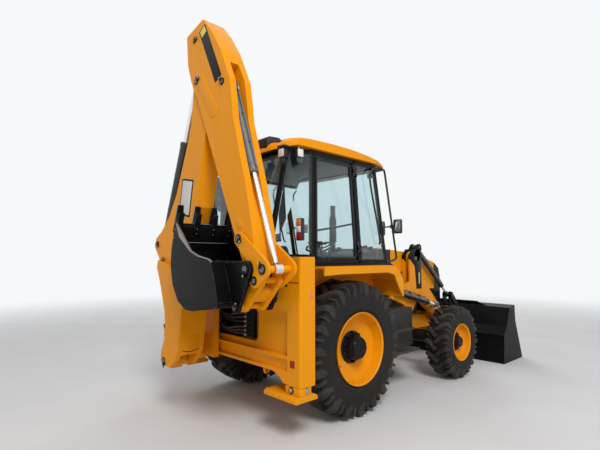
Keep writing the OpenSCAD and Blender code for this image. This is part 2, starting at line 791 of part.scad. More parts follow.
// Lug with a hole across, for a tie-down shackle
module tie_down(x, y, z) {
    difference() {
        profile(y, y + tie_t, [[x - 35, z + 45], [x - 35, z], [x - 22, z - 32], [x + 22, z - 32],
            [x + 35, z], [x + 35, z + 45]]);
        bar_y([x, z], y - 1, y + tie_t + 1, tie_hole_r);
    }
}

module leg_section() {
    translate([frame_rear + corner_r, leg_in]) square([leg_box - corner_r, leg_box]);
    translate([frame_rear, leg_in]) square([leg_box, leg_box - corner_r]);
    translate([frame_rear + corner_r, leg_y - corner_r]) circle(corner_r);
}

module window_shape() {
    h = window_z[1] - window_z[0];
    translate([-window_y + window_r, window_z[0]]) square([2 * window_y - 2 * window_r, h]);
    translate([-window_y, window_z[0] + window_r]) square([2 * window_y, h - 2 * window_r]);
    for (y = [-1, 1], z = [window_z[0] + window_r, window_z[1] - window_r])
        translate([y * (window_y - window_r), z]) circle(window_r);
}

module rear_frame() {
    color(yellow) union() {
        both() difference() {
            translate([0, 0, leg_low]) linear_extrude(leg_high - leg_low) leg_section();
            slab([frame_rear + wall, leg_in + wall, leg_low - 1], [leg_x1 - wall, leg_y - wall, leg_high - wall]);
        }
        slab([frame_rear + 32, -leg_in, rail_l0], [rail_x1, leg_in, rail_l1]);
        for (z = [rail_l0, rail_l1 - flange])
            slab([frame_rear, -leg_in, z], [rail_x1, leg_in, z + flange]);
        slab([frame_rear, -leg_in, rail_u0], [rail_x1, leg_in, rail_u1]);
        difference() {
            slab([frame_rear + 60, -leg_in, rail_l1 - 10], [frame_rear + 100, leg_in, rail_u0 + 10]);
            across(frame_rear + 50, frame_rear + 110) window_shape();
        }
        both() across(frame_rear, frame_rear + 40) difference() {
            translate([leg_in - 240, leg_low + 5]) square([250, rail_l0 + 10 - leg_low - 5]);
            translate([leg_in - 240, rail_l0 - 240]) circle(240, $fn = 96);
        }
        both() tie_down(frame_rear + 70, 600, 572);
        both() slab([frame_rear + 100, rail_y - rail_w, rail_l0], [frame_rear + 285 - touch, rail_y, rail_top]);
        both() slab([frame_rear + 100, rail_y - rail_w, rail_top - 20], [frame_rear + 140, rail_y, rail_u1 - 20]);
    }
}

module stabiliser(side) {
    inset = wall + slide_gap;
    on_side(side) color(yellow) union() {
        slab([frame_rear + inset, leg_in + inset, leg_foot], [leg_x1 - inset, leg_y - inset, 1560]);
        profile(leg_in - 10, leg_y - 6, [[frame_rear - 40, pad_low], [leg_x1 + 15, pad_low],
            [leg_x1 - 10, pad_low + 40], [leg_x1 - 60, leg_foot + 10], [frame_rear + 40, leg_foot + 10],
            [frame_rear - 20, pad_low + 40]]);
    }
}

// Backhoe: drawn facing +X from the slew pin, then turned to the machine's right
module backhoe() {
    translate([slew_x, slew_y, 0]) rotate([0, 0, -90]) children();
}

boom_foot = [148, 586];
boom_angle = 79.5;
dipper_pin = from(boom_foot, boom_angle, [boom_len, 0]);
dipper_angle = -63.1;
dig_pin = from(dipper_pin, dipper_angle, [dipper_len, 0]);
dig_angle = 153;
king_ram = [60, 900];
boom_ram = from(boom_foot, boom_angle, [1000, 370]);
hump_pin = from(boom_foot, boom_angle, [1154, 551]);
tail_pin = from(dipper_pin, dipper_angle, [-428, 156]);
dig_ram = from(dipper_pin, dipper_angle, [350, 352]);
lever_a = from(dipper_pin, dipper_angle, [1820, -20]);
lever_c = from(dipper_pin, dipper_angle, [2194, 160]);
lever_d = from(dipper_pin, dipper_angle, [2230, 25]);
link_e = from(dig_pin, dig_angle, [-22, 340]);
lever_end_r = 78;
reach_y = lever_c[0] + lever_end_r - slew_y;
origin_y = (leg_y - reach_y) / 2;

// Carriage: side-shift plate on the rear frame's rails, with the slew pin's ears
car_half = 350;
car_t = 60;
ear_r = 62;
slew_r = 34;
ear_lo = [540, 600];
ear_hi = [745, 805];
car_face = frame_rear - touch - car_t;
module carriage() {
    color(yellow) translate([0, slew_y, 0]) union() {
        slab([car_face, -car_half, 580], [frame_rear - touch, car_half, 1420]);
        for (e = [ear_lo, ear_hi]) difference() {
            translate([0, 0, e[0]]) linear_extrude(e[1] - e[0]) union() {
                translate([slew_x, 0]) circle(ear_r);
                polygon([[slew_x, -ear_r], [slew_x + 165, -ear_r], [car_face + 20, -ear_r - 90],
                    [car_face + 20, ear_r + 90], [slew_x + 165, ear_r], [slew_x, ear_r]]);
            }
            translate([slew_x, 0, e[0] - 5]) cylinder(r = slew_r + pin_gap, h = e[1] - e[0] + 10);
        }
        for (y = [-130, 110]) slab([slew_x + 220, y, ear_lo[1] - 30], [car_face + 10, y + 20, ear_hi[0] + 30]);
    }
}

king_w = 82;
king_slot = 56;
module kingpost() {
    color(yellow) backhoe() difference() {
        union() {
            translate([0, 0, 498]) cylinder(r = slew_r, h = 340);
            translate([0, 0, ear_lo[1] + side_gap]) cylinder(r = ear_r - 2, h = ear_hi[0] - ear_lo[1] - 2 * side_gap);
            slab([0, -60, ear_lo[1] + side_gap], [140, 60, ear_hi[0] - side_gap]);
            slab([-48, -60, 810], [110, 60, 842]);
            slab([-48, -60, 496], [150, 60, 535]);
            profile_of(-king_w, king_w) union() {
                link2d(boom_foot, king_ram, 70, 60);
                polygon([[100, 535], [180, 525], [200, 620], [160, 850], [90, 900]]);
            }
        }
        bar_y(boom_foot, -300, 300, pin_r + pin_gap);
        profile_of(-king_slot, king_slot) polygon([[-60, 846], [40, 846], [60, 832], [260, 704],
            [320, 704], [320, 1100], [-60, 1100]]);
        for (e = [ear_lo, ear_hi]) translate([0, 0, e[0] - side_gap]) difference() {
            cylinder(r = 128, h = e[1] - e[0] + 2 * side_gap);
            translate([0, 0, -1]) cylinder(r = slew_r, h = 200);
        }
    }
    color(steel) backhoe() bar_y(king_ram, -king_w - 4, king_w + 4, 26);
}

boom_outline = [[2925, 90], [2427, 58], [1747, 221], [1485, 337], [1310, 480], [1210, 600],
    [1120, 610], [1060, 540], [1024, 487], [795, 303], [509, 112], [352, 65], [226, 49],
    [60, 90], [-20, 75], [-20, -140], [80, -220], [194, -266], [497, -256], [1100, -240],
    [2000, -240], [2415, -255], [2950, -90]];
// Furthest point of a tooth from the bucket's pin, and the room it swings in under the boom
tooth_tip = [1112, -112];
tooth_gap = 8;
module boom() {
    color(yellow) backhoe() difference() {
        at(boom_foot, boom_angle) difference() {
            union() {
                profile_of(-boom_w / 2, boom_w / 2) intersection() {
                    union() {
                        polygon(boom_outline);
                        translate([boom_len, 0]) circle(98);
                    }
                    polygon([[330, -400], [330, 900], [3100, 900], [3100, -400]]);
                }
                for (y = [-fork_w / 2, boom_w / 2 - 4]) profile_of(y, y + fork_w / 2 - boom_w / 2 + 4) intersection() {
                    polygon(boom_outline);
                    translate([-90, -400]) square([1090, 800]);
                }
            }
            profile_of(-60, 60) polygon([[950, 200], [1300, 330], [1400, 700], [600, 700], [600, 150]]);
        }
        bar_y(dipper_pin, -300, 300, pin_r + pin_gap);
        profile_of(-boom_w, boom_w) translate(dig_pin) circle(norm(tooth_tip) + tooth_gap, $fn = 144);
    }
    color(steel) backhoe() union() {
        bar_y(boom_foot, -fork_w / 2 - 4, fork_w / 2 + 4, pin_r);
        bar_y(hump_pin, -boom_w / 2 - 8, boom_w / 2 + 8, 22);
    }
    color(steel) backhoe() for (y = [-boom_w / 2 - 8, 44])
        bar_y(boom_ram, y, y + boom_w / 2 - 36, 22);
}

head_gap = 6;
head_plate = dipper_w / 2 - boom_w / 2 - head_gap;
dipper_outline = [[-588, 43], [-497, 367], [-276, 426], [14, 466], [394, 463], [578, 409],
    [783, 340], [1392, 245], [1832, 150], [2060, 75], [2130, 60], [2165, 0], [2140, -60], [2028, -84], [1776, -91],
    [135, -73], [66, -90], [-60, -90], [-278, -70]];
module dipper() {
    color(yellow) backhoe() difference() {
        at(dipper_pin, dipper_angle) difference() {
            profile(-dipper_w / 2, dipper_w / 2, dipper_outline);
            profile(-boom_w / 2 - head_gap, boom_w / 2 + head_gap, [[-700, -200], [-700, 500],
                [-30, 500], [180, 230], [330, 130], [500, -30], [540, -200]]);
            profile(-52, 52, [[180, 500], [180, 320], [300, 292], [1400, 178], [1720, 166], [1720, 400], [820, 500]]);
        }
        bar_y(dipper_pin, -300, 300, pin_r + pin_gap);
        bar_y(lever_a, -300, 300, 26 + pin_gap);
        bar_y(dig_pin, -300, 300, pin_r + pin_gap);
    }
    color(steel) backhoe() union() {
        bar_y(dipper_pin, -dipper_w / 2 - 4, dipper_w / 2 + 4, pin_r);
        bar_y(dig_ram, -dipper_w / 2 - 4, dipper_w / 2 + 4, 22);
        for (y = [-dipper_w / 2 - 4, 44]) bar_y(tail_pin, y, y + dipper_w / 2 - 40, 22);
    }
}

dig_shell = [[1048, 55], [985, 324], [936, 446], [805, 590], [640, 670], [480, 665],
    [352, 600], [46, 380], [46, 334], [150, 215], [300, 90], [340, 84], [525, 143], [659, 161], [913, 133]];
dig_inside = [[1036, 0], [963, 316], [916, 434], [793, 571], [636, 648], [490, 643],
    [366, 582], [88, 374], [168, 232], [318, 96], [420, -100], [1000, -100]];
ear_in = dipper_w / 2 + 36;
module dig_bucket() {
    color(black) backhoe() difference() {
        at(dig_pin, dig_angle) union() {
            difference() {
                profile(-dig_w / 2, dig_w / 2, dig_shell);
                profile(-dig_w / 2 + 20, dig_w / 2 - 20, dig_inside);
            }
            for (i = [0 : 3]) translate([0, -dig_w / 2 + 40 + i * (dig_w - 80) / 3, 0])
                profile(-30, 30, [[1020, 120], [1024, 40], [tooth_tip[0] - 16, tooth_tip[1]], tooth_tip, [1074, 50], [1042, 130]]);
            for (side = [-1, 1]) profile_of(side > 0 ? ear_in : -ear_in - 30, side > 0 ? ear_in + 30 : -ear_in) union() {
                circle(72);
                translate([-22, 340]) circle(52);
                polygon([[-70, 0], [0, -70], [60, -40], [300, 95], [160, 215], [30, 330], [20, 370], [-20, 392], [-74, 340]]);
            }
        }
    }
    color(steel) backhoe() union() {
        bar_y(dig_pin, -ear_in - 34, ear_in + 34, pin_r);
        for (y = [-ear_in - 36, ear_in - 2]) bar_y(link_e, y, y + 38, 24);
    }
}

lever_in = dipper_w / 2 + side_gap;
lever_plate = 25;
module dig_lever() {
    color(yellow) backhoe() difference() {
        for (side = [-1, 1]) profile_of(side > 0 ? lever_in : -lever_in - lever_plate, side > 0 ? lever_in + lever_plate : -lever_in) difference() {
            union() {
                link2d(lever_a, lever_c, 60, lever_end_r);
                link2d(lever_c, lever_d, lever_end_r, 58);
            }
            translate(dig_pin) circle(52);
        }
        bar_y(lever_d, -300, 300, 24 + pin_gap);
    }
    color(steel) backhoe() union() {
        bar_y(lever_a, -lever_in - lever_plate - 4, lever_in + lever_plate + 4, 26);
        for (y = [-lever_in - lever_plate - 4, 42]) bar_y(lever_c, y, y + lever_in + lever_plate - 38, 30);
    }
}

link_in = 66;
link_out = lever_in - 10;
module dig_link() {
    color(yellow) backhoe() union() {
        for (y = [-link_out, link_in]) profile_of(y, y + link_out - link_in) link2d(lever_d, link_e, 50, 46);
        profile_of(-link_in - 4, link_in + 4) link2d(along(lever_d, link_e, 120), along(lever_d, link_e, 200), 40, 40);
    }
    color(steel) backhoe() union() {
        bar_y(lever_d, -lever_in - lever_plate - 4, lever_in + lever_plate + 4, 24);
        bar_y(link_e, -ear_in + 6, ear_in - 6, 24);
    }
}

module boom_barrel() {
    backhoe() barrel(king_ram, boom_ram, 0, 675, 50, 52, 80, 26 + pin_gap);
}
module boom_rod() {
    backhoe() rod(king_ram, boom_ram, 0, 80, 50, 46, 80);
}
module dipper_barrel() {
    backhoe() barrel(hump_pin, tail_pin, 0, 1190, 50, 48, 80, 22 + pin_gap);
}
module dipper_rod() {
    backhoe() rod(hump_pin, tail_pin, 0, 1000, 50, 46, 80);
}
module bucket_barrel() {
    backhoe() barrel(dig_ram, lever_c, 0, 960, 42, 44, 70, 22 + pin_gap);
}
module bucket_rod() {
    backhoe() rod(dig_ram, lever_c, 0, 860, 42, 44, 76);
}

module placed() {
    translate([-origin_x, -origin_y, 0]) children();
}

placed() chassis();
placed() rear_frame();
placed() front_axle();
placed() rear_axle();
placed() knuckle(1);  // knuckle_left
placed() knuckle(-1);  // knuckle_right
placed() tyre_rear(1);  // tyre_rear_left
placed() tyre_rear(-1);  // tyre_rear_right
placed() rim_rear(1);  // rim_rear_left
placed() rim_rear(-1);  // rim_rear_right
placed() tyre_front(1);  // tyre_front_left
placed() tyre_front(-1);  // tyre_front_right
placed() rim_front(1);  // rim_front_left
placed() rim_front(-1);  // rim_front_right
placed() engine();
placed() bonnet();
placed() cowl();
placed() nose();
placed() fenders();
placed() tanks();
placed() cab_frame();
placed() cab_roof();
placed() cab_glass();
placed() door(1);  // door_left
placed() door(-1);  // door_right
placed() door_glass(1);  // door_glass_left
placed() door_glass(-1);  // door_glass_right
placed() seat();
placed() console();
placed() lamps();
placed() mirrors();
placed() loader_arms();
placed() loader_bucket();
placed() lift_barrels();
placed() lift_rods();
placed() tip_levers();
placed() tip_links();
placed() tip_barrels();
placed() tip_rods();
placed() stabiliser(1);  // stabiliser_left
placed() stabiliser(-1);  // stabiliser_right
placed() carriage();
placed() kingpost();
placed() boom();
placed() dipper();
placed() dig_bucket();
placed() dig_lever();
placed() dig_link();
placed() boom_barrel();
placed() boom_rod();
placed() dipper_barrel();
placed() dipper_rod();
placed() bucket_barrel();
placed() bucket_rod();
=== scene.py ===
"""Backhoe loader, parked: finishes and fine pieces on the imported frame."""
import json
from math import cos, pi, radians, sin, tan

import bmesh
import bpy
from mathutils import Matrix, Vector


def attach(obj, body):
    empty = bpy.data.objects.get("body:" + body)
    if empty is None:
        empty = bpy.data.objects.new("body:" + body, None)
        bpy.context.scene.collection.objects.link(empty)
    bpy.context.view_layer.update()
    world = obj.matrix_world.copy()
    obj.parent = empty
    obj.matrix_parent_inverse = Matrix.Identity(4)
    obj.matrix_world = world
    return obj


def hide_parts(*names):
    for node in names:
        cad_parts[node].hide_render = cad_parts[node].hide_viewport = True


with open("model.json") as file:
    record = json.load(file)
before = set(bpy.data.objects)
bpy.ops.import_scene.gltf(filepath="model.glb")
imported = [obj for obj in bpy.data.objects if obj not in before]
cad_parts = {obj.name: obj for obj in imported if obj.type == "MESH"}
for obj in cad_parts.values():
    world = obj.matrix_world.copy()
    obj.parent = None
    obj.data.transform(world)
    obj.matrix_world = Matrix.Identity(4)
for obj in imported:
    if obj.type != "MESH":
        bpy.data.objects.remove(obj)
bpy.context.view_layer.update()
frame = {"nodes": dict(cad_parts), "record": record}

# Places. Lengths are in millimetres from the rear axle, the middle plane and the ground,
# as in the part's source; a side view has two directions and w is the sideways one.
origin_x, origin_y = 1224.5, -109.68
slew_x, slew_y = -1380.0, 500.0


def here(x, w, z):
    return Vector((x - origin_x, w - origin_y, z)) / 1000


def mirrored(side):
    return lambda x, w, z: here(x, side * w, z)


def both_sides():
    """Sign, label and directions of the machine's left, then of its right."""
    return [(1, "left", mirrored(1)), (-1, "right", mirrored(-1))]


def hoe(s, w, z):
    return here(slew_x + w, slew_y - s, z)


def turned(p, angle, a, b):
    t = radians(angle)
    return p[0] + a * cos(t) - b * sin(t), p[1] + a * sin(t) + b * cos(t)


boom_foot, boom_angle, boom_len = (148, 586), 79.5, 2925
dipper_pin, dipper_angle, dipper_len = turned(boom_foot, boom_angle, boom_len, 0), -63.1, 2117
dig_pin, dig_angle = turned(dipper_pin, dipper_angle, dipper_len, 0), 153


def arm_space(pin, angle):
    def place(a, w, b):
        s, z = turned(pin, angle, a, b)
        return hoe(s, w, z)
    return place


boom_at = arm_space(boom_foot, boom_angle)
dipper_at = arm_space(dipper_pin, dipper_angle)
bucket_at = arm_space(dig_pin, dig_angle)
rear_r, front_r, rear_rim, front_rim = 711, 495, 381, 254
rear_wheel = (0, 860, rear_r)
front_wheel = (2170, 950, front_r)
door_foot = 1645
door_lean = Vector((-0.0878, 0, 0.996))


def door_front(z):
    """The front edge of a door leans back with height."""
    return 246 - 96 / 1089 * (z - door_foot)


# Shader graphs

class Graph:
    """Nodes of one tree, made with their settings and inputs in one call."""

    def __init__(self, tree):
        self.tree = tree

    def node(self, kind, inputs=None, **settings):
        n = self.tree.nodes.new(kind)
        for k, v in settings.items():
            setattr(n, k, v)
        for k, v in (inputs or {}).items():
            if isinstance(v, bpy.types.NodeSocket):
                self.tree.links.new(v, n.inputs[k])
            else:
                n.inputs[k].default_value = v
        return n

    def out(self, kind, inputs=None, **settings):
        return self.node(kind, inputs, **settings).outputs[0]

    def link(self, a, b):
        self.tree.links.new(a, b)

    def math(self, how, a, b=0.5, clamp=False):
        return self.out("ShaderNodeMath", {0: a, 1: b}, operation=how, use_clamp=clamp)

    def blend(self, fac, a, b):
        return self.node("ShaderNodeMix", {"Factor": fac, 6: a, 7: b}, data_type="RGBA").outputs[2]

    def span(self, v, low, high, to_low=0.0, to_high=1.0):
        return self.out("ShaderNodeMapRange", {0: v, 1: low, 2: high, 3: to_low, 4: to_high})

    def noise(self, place, scale, detail=3.0, rough=0.55):
        return self.out("ShaderNodeTexNoise", {"Vector": place, "Scale": scale, "Detail": detail,
                                               "Roughness": rough})

    def place(self):
        return self.node("ShaderNodeTexCoord").outputs["Object"]


def shader_group(name, inputs, outputs):
    tree = bpy.data.node_groups.new(name, "ShaderNodeTree")
    for label, kind, value in inputs:
        s = tree.interface.new_socket(label, in_out="INPUT", socket_type="NodeSocket" + kind)
        s.default_value = value
    for label, kind in outputs:
        tree.interface.new_socket(label, in_out="OUTPUT", socket_type="NodeSocket" + kind)
    g = Graph(tree)
    g.start = g.node("NodeGroupInput").outputs
    g.end = g.node("NodeGroupOutput").inputs
    return g


def colour(r, g, b):
    return (r, g, b, 1.0)


# Bare edges: where rounded and true normals part, broken up by noise
edge = shader_group("Rubbed Edges", [("Radius", "Float", 0.006), ("Breakup", "Float", 24.0),
                                     ("Amount", "Float", 0.5)], [("Mask", "Float")])
round_n = edge.out("ShaderNodeBevel", {"Radius": edge.start["Radius"]}, samples=4)
true_n = edge.node("ShaderNodeNewGeometry").outputs["Normal"]
apart = edge.node("ShaderNodeVectorMath", {0: round_n, 1: true_n}, operation="DOT_PRODUCT").outputs["Value"]
apart = edge.span(apart, 0.995, 0.90)
patchy = edge.span(edge.noise(edge.place(), edge.start["Breakup"], 5.0), 0.42, 0.62)
edge.link(edge.math("MULTIPLY", edge.math("MULTIPLY", apart, patchy), edge.start["Amount"], True),
          edge.end["Mask"])

# Dust: more on faces that look up and near the ground
dust = shader_group("Settled Dust", [("Reach", "Float", 1.2), ("Amount", "Float", 0.4),
                                     ("Upward", "Float", 0.4)], [("Mask", "Float")])
spot = dust.place()
height = dust.node("ShaderNodeSeparateXYZ", {0: spot}).outputs[2]
low = dust.math("SUBTRACT", 1.0, dust.math("DIVIDE", height, dust.start["Reach"]), True)
facing = dust.node("ShaderNodeSeparateXYZ",
                   {0: dust.node("ShaderNodeNewGeometry").outputs["Normal"]}).outputs[2]
upward = dust.math("MULTIPLY", dust.span(facing, 0.4, 1.0), dust.start["Upward"])
cloud = dust.math("MULTIPLY", dust.span(dust.noise(spot, 3.2, 6.0, 0.62), 0.35, 0.68),
                  dust.span(dust.noise(spot, 41.0, 3.0), 0.2, 0.7, 0.55, 1.0))
dust.link(dust.math("MULTIPLY", dust.math("MULTIPLY", dust.math("ADD", low, upward), cloud),
                    dust.start["Amount"], True), dust.end["Mask"])

# Slow and fine drift of a colour, with faint runs down the sides
tone = shader_group("Colour Drift", [("Colour", "Color", colour(1, 1, 1)), ("Spread", "Float", 0.1),
                                     ("Runs", "Float", 0.1)], [("Colour", "Color")])
spot = tone.place()
slow = tone.noise(spot, 1.4, 3.0)
fine = tone.noise(spot, 19.0, 4.0)
stretched = tone.out("ShaderNodeMapping", {"Vector": spot, "Scale": (13.0, 13.0, 0.7)})
runs = tone.span(tone.noise(stretched, 1.0, 4.0), 0.45, 0.75)
level = tone.math("ADD", tone.math("MULTIPLY", tone.math("ADD", slow, fine), tone.start["Spread"]), 1.0)
level = tone.math("SUBTRACT", level, tone.start["Spread"])
level = tone.math("SUBTRACT", level, tone.math("MULTIPLY", runs, tone.start["Runs"]))
tone.link(tone.out("ShaderNodeHueSaturation", {"Value": level, "Color": tone.start["Colour"]}),
          tone.end["Colour"])

# Height of a sprayed or cast surface
skin = shader_group("Surface Grain", [("Scale", "Float", 300.0), ("Dents", "Float", 0.2)],
                    [("Height", "Float"), ("Breakup", "Float")])
spot = skin.place()
grain = skin.noise(spot, skin.start["Scale"], 2.0)
waves = skin.math("MULTIPLY", skin.noise(spot, 6.0, 2.0), skin.start["Dents"])
skin.link(skin.math("ADD", grain, waves), skin.end["Height"])
skin.link(skin.noise(spot, 9.0, 4.0), skin.end["Breakup"])


def use(g, group, **inputs):
    return g.node("ShaderNodeGroup", {k.replace("_", " "): v for k, v in inputs.items()},
                  node_tree=group.tree).outputs


def finish(name, base, rough, metallic=0.0, spread=0.10, runs=0.05, dirt=colour(0.30, 0.235, 0.17),
           dirt_rough=0.9, reach=1.2, dusty=0.45, upward=0.35, rub=0.35,
           rub_colour=colour(0.30, 0.29, 0.28), radius=0.006, grain_scale=300.0, dents=0.25, bump=0.06,
           rough_spread=0.12, coat=0.0, **sockets):
    m = bpy.data.materials.new(name)
    m.use_nodes = True
    g = Graph(m.node_tree)
    shader = m.node_tree.nodes["Principled BSDF"]
    drift = use(g, tone, Colour=base, Spread=spread, Runs=runs)["Colour"]
    dirty = use(g, dust, Reach=reach, Amount=dusty, Upward=upward)["Mask"]
    bare = use(g, edge, Radius=radius, Amount=rub)["Mask"]
    body = g.blend(bare, g.blend(dirty, drift, dirt), rub_colour)
    g.link(body, shader.inputs["Base Color"])
    surface = use(g, skin, Scale=grain_scale, Dents=dents)
    r = g.math("ADD", g.math("MULTIPLY", surface["Breakup"], rough_spread), rough - rough_spread / 2)
    r = g.math("ADD", g.math("MULTIPLY", dirty, dirt_rough - rough), r)
    g.link(g.math("ADD", g.math("MULTIPLY", bare, 0.15), r, True), shader.inputs["Roughness"])
    rise = g.out("ShaderNodeBump", {"Strength": bump, "Distance": 0.01, "Height": surface["Height"]})
    g.link(rise, shader.inputs["Normal"])
    shader.inputs["Metallic"].default_value = metallic
    if coat:
        shader.inputs["Coat Weight"].default_value = coat
        shader.inputs["Coat Roughness"].default_value = 0.12
    for k, v in sockets.items():
        shader.inputs[k.replace("_", " ")].default_value = v
    return m


yellow_paint = finish("yellow_paint", colour(0.86, 0.31, 0.002), 0.36, coat=0.04, spread=0.05, runs=0.04,
                      reach=0.55, dirt=colour(0.36, 0.19, 0.07), dusty=0.30, upward=0.05, rub=0.35,
                      rub_colour=colour(0.36, 0.15, 0.03), radius=0.004, Specular_IOR_Level=0.12)
black_paint = finish("black_paint", colour(0.0045, 0.0047, 0.0053), 0.34, coat=0.05, spread=0.2, runs=0.1,
                     radius=0.004, dirt=colour(0.12, 0.10, 0.08), reach=0.8, dusty=0.4, upward=0.15,
                     rub=0.3, rub_colour=colour(0.10, 0.095, 0.09), Specular_IOR_Level=0.12)
shovel_paint = finish("shovel_paint", colour(0.0035, 0.0037, 0.0043), 0.38, coat=0.04, spread=0.25,
                      runs=0.15, dirt=colour(0.035, 0.030, 0.026), reach=0.5, dusty=0.18, upward=0.08,
                      rub=0.75, dents=0.8, bump=0.06, rub_colour=colour(0.22, 0.215, 0.21), radius=0.005,
                      Specular_IOR_Level=0.08)
grey_paint = finish("grey_paint", colour(0.12, 0.125, 0.13), 0.45, dirt=colour(0.17, 0.14, 0.11))
ram_paint = finish("ram_paint", colour(0.013, 0.013, 0.0145), 0.30, coat=0.3, reach=0.6, dusty=0.3,
                   upward=0.1, rub=0.2)
rod_chrome = finish("rod_chrome", colour(0.78, 0.79, 0.80), 0.12, metallic=1.0, spread=0.04, runs=0.0,
                    dusty=0.12, upward=0.15, rub=0.0, bump=0.01, rough_spread=0.08)
zinc = finish("zinc", colour(0.46, 0.46, 0.45), 0.38, metallic=1.0, spread=0.15, dusty=0.25,
              rub=0.0, bump=0.03)
pin_steel = finish("pin_steel", colour(0.16, 0.155, 0.15), 0.38, metallic=0.95, spread=0.25, dusty=0.3,
                   rub=0.0, bump=0.04, grain_scale=160.0)
worn_steel = finish("worn_steel", colour(0.30, 0.29, 0.28), 0.45, metallic=0.9, spread=0.35, runs=0.2,
                    dusty=0.5, upward=0.6, rub=0.0, bump=0.2, grain_scale=120.0)
# Tyre carcass: a darker base and darker, thinner dust than the lugs' rubber. This is partly real dirt and
# partly painted shade for the tread grooves.
tyre_rubber = finish("tyre_rubber", colour(0.0095, 0.009, 0.009), 0.62, spread=0.3, runs=0.0,
                     dirt=colour(0.045, 0.036, 0.031), reach=1.7, dusty=0.7, upward=0.05, rub=0.3,
                     rub_colour=colour(0.06, 0.05, 0.045), radius=0.010, bump=0.22, grain_scale=160.0,
                     dents=0.6, Specular_IOR_Level=0.2)
lug_rubber = finish("lug_rubber", colour(0.016, 0.015, 0.0145), 0.62, spread=0.3, runs=0.0,
                    dirt=colour(0.115, 0.092, 0.075), reach=2.4, dusty=0.9, upward=0.25, rub=0.6,
                    rub_colour=colour(0.13, 0.11, 0.095), radius=0.008, bump=0.25, grain_scale=160.0,
                    dents=0.6, Specular_IOR_Level=0.2)
plastic = finish("plastic", colour(0.012, 0.012, 0.0135), 0.5, spread=0.12, runs=0.0, dusty=0.25,
                 upward=0.35, rub=0.1, grain_scale=700.0, bump=0.12)
gasket = finish("gasket", colour(0.012, 0.012, 0.013), 0.7, runs=0.0, dusty=0.2, rub=0.0, bump=0.05)
hose_rubber = finish("hose_rubber", colour(0.02, 0.02, 0.021), 0.5, dusty=0.3, rub=0.0,
                     grain_scale=500.0, bump=0.1)
bare_plate = finish("bare_plate", colour(0.62, 0.61, 0.58), 0.4, spread=0.05, dusty=0.15, rub=0.1)
red_reflex = finish("red_reflex", colour(0.36, 0.006, 0.005), 0.3, coat=0.1, spread=0.1, grain_scale=260.0,
                    bump=0.3, rub=0.0, dusty=0.1, upward=0.05, Specular_IOR_Level=0.15)
amber_reflex = finish("amber_reflex", colour(0.85, 0.20, 0.015), 0.22, coat=0.6, grain_scale=260.0,
                      bump=0.4, rub=0.0, dusty=0.1)
stripe = finish("stripe", colour(0.72, 0.66, 0.06), 0.35, rub=0.0, dusty=0.1)
lamp_clear = finish("lamp_clear", colour(0.80, 0.79, 0.74), 0.12, coat=0.8, spread=0.05, grain_scale=90.0,
                    bump=0.5, rub=0.0, dusty=0.1)
seat_cloth = finish("seat_cloth", colour(0.028, 0.028, 0.031), 0.85, spread=0.2, runs=0.0, dusty=0.12,
                    upward=0.2, rub=0.0, grain_scale=420.0, bump=0.5, Sheen_Weight=0.35)


def window_finish(name, tint):
    m = bpy.data.materials.new(name)
    m.use_nodes = True
    g = Graph(m.node_tree)
    shader = m.node_tree.nodes["Principled BSDF"]
    out = m.node_tree.nodes["Material Output"]
    smear = g.noise(g.place(), 2.6, 5.0, 0.6)
    film = g.span(smear, 0.48, 0.72, 0.015, 0.09)
    drift = use(g, tone, Colour=tint, Spread=0.04, Runs=0.02)["Colour"]
    g.link(drift, shader.inputs["Base Color"])
    g.link(film, shader.inputs["Roughness"])
    shader.inputs["Metallic"].default_value = 0.0
    shader.inputs["Transmission Weight"].default_value = 1.0
    shader.inputs["IOR"].default_value = 1.46
    clear = g.out("ShaderNodeBsdfTransparent", {"Color": colour(0.86, 0.92, 0.92)})
    ray = g.node("ShaderNodeLightPath").outputs["Is Shadow Ray"]
    mix = g.out("ShaderNodeMixShader", {0: ray, 1: shader.outputs[0], 2: clear})
    g.link(mix, out.inputs["Surface"])
    return m


window_glass = window_finish("window_glass", colour(0.74, 0.86, 0.88))


# Meshes

def solid_normals(bm):
    bmesh.ops.remove_doubles(bm, verts=bm.verts, dist=1e-6)
    bmesh.ops.recalc_face_normals(bm, faces=bm.faces)


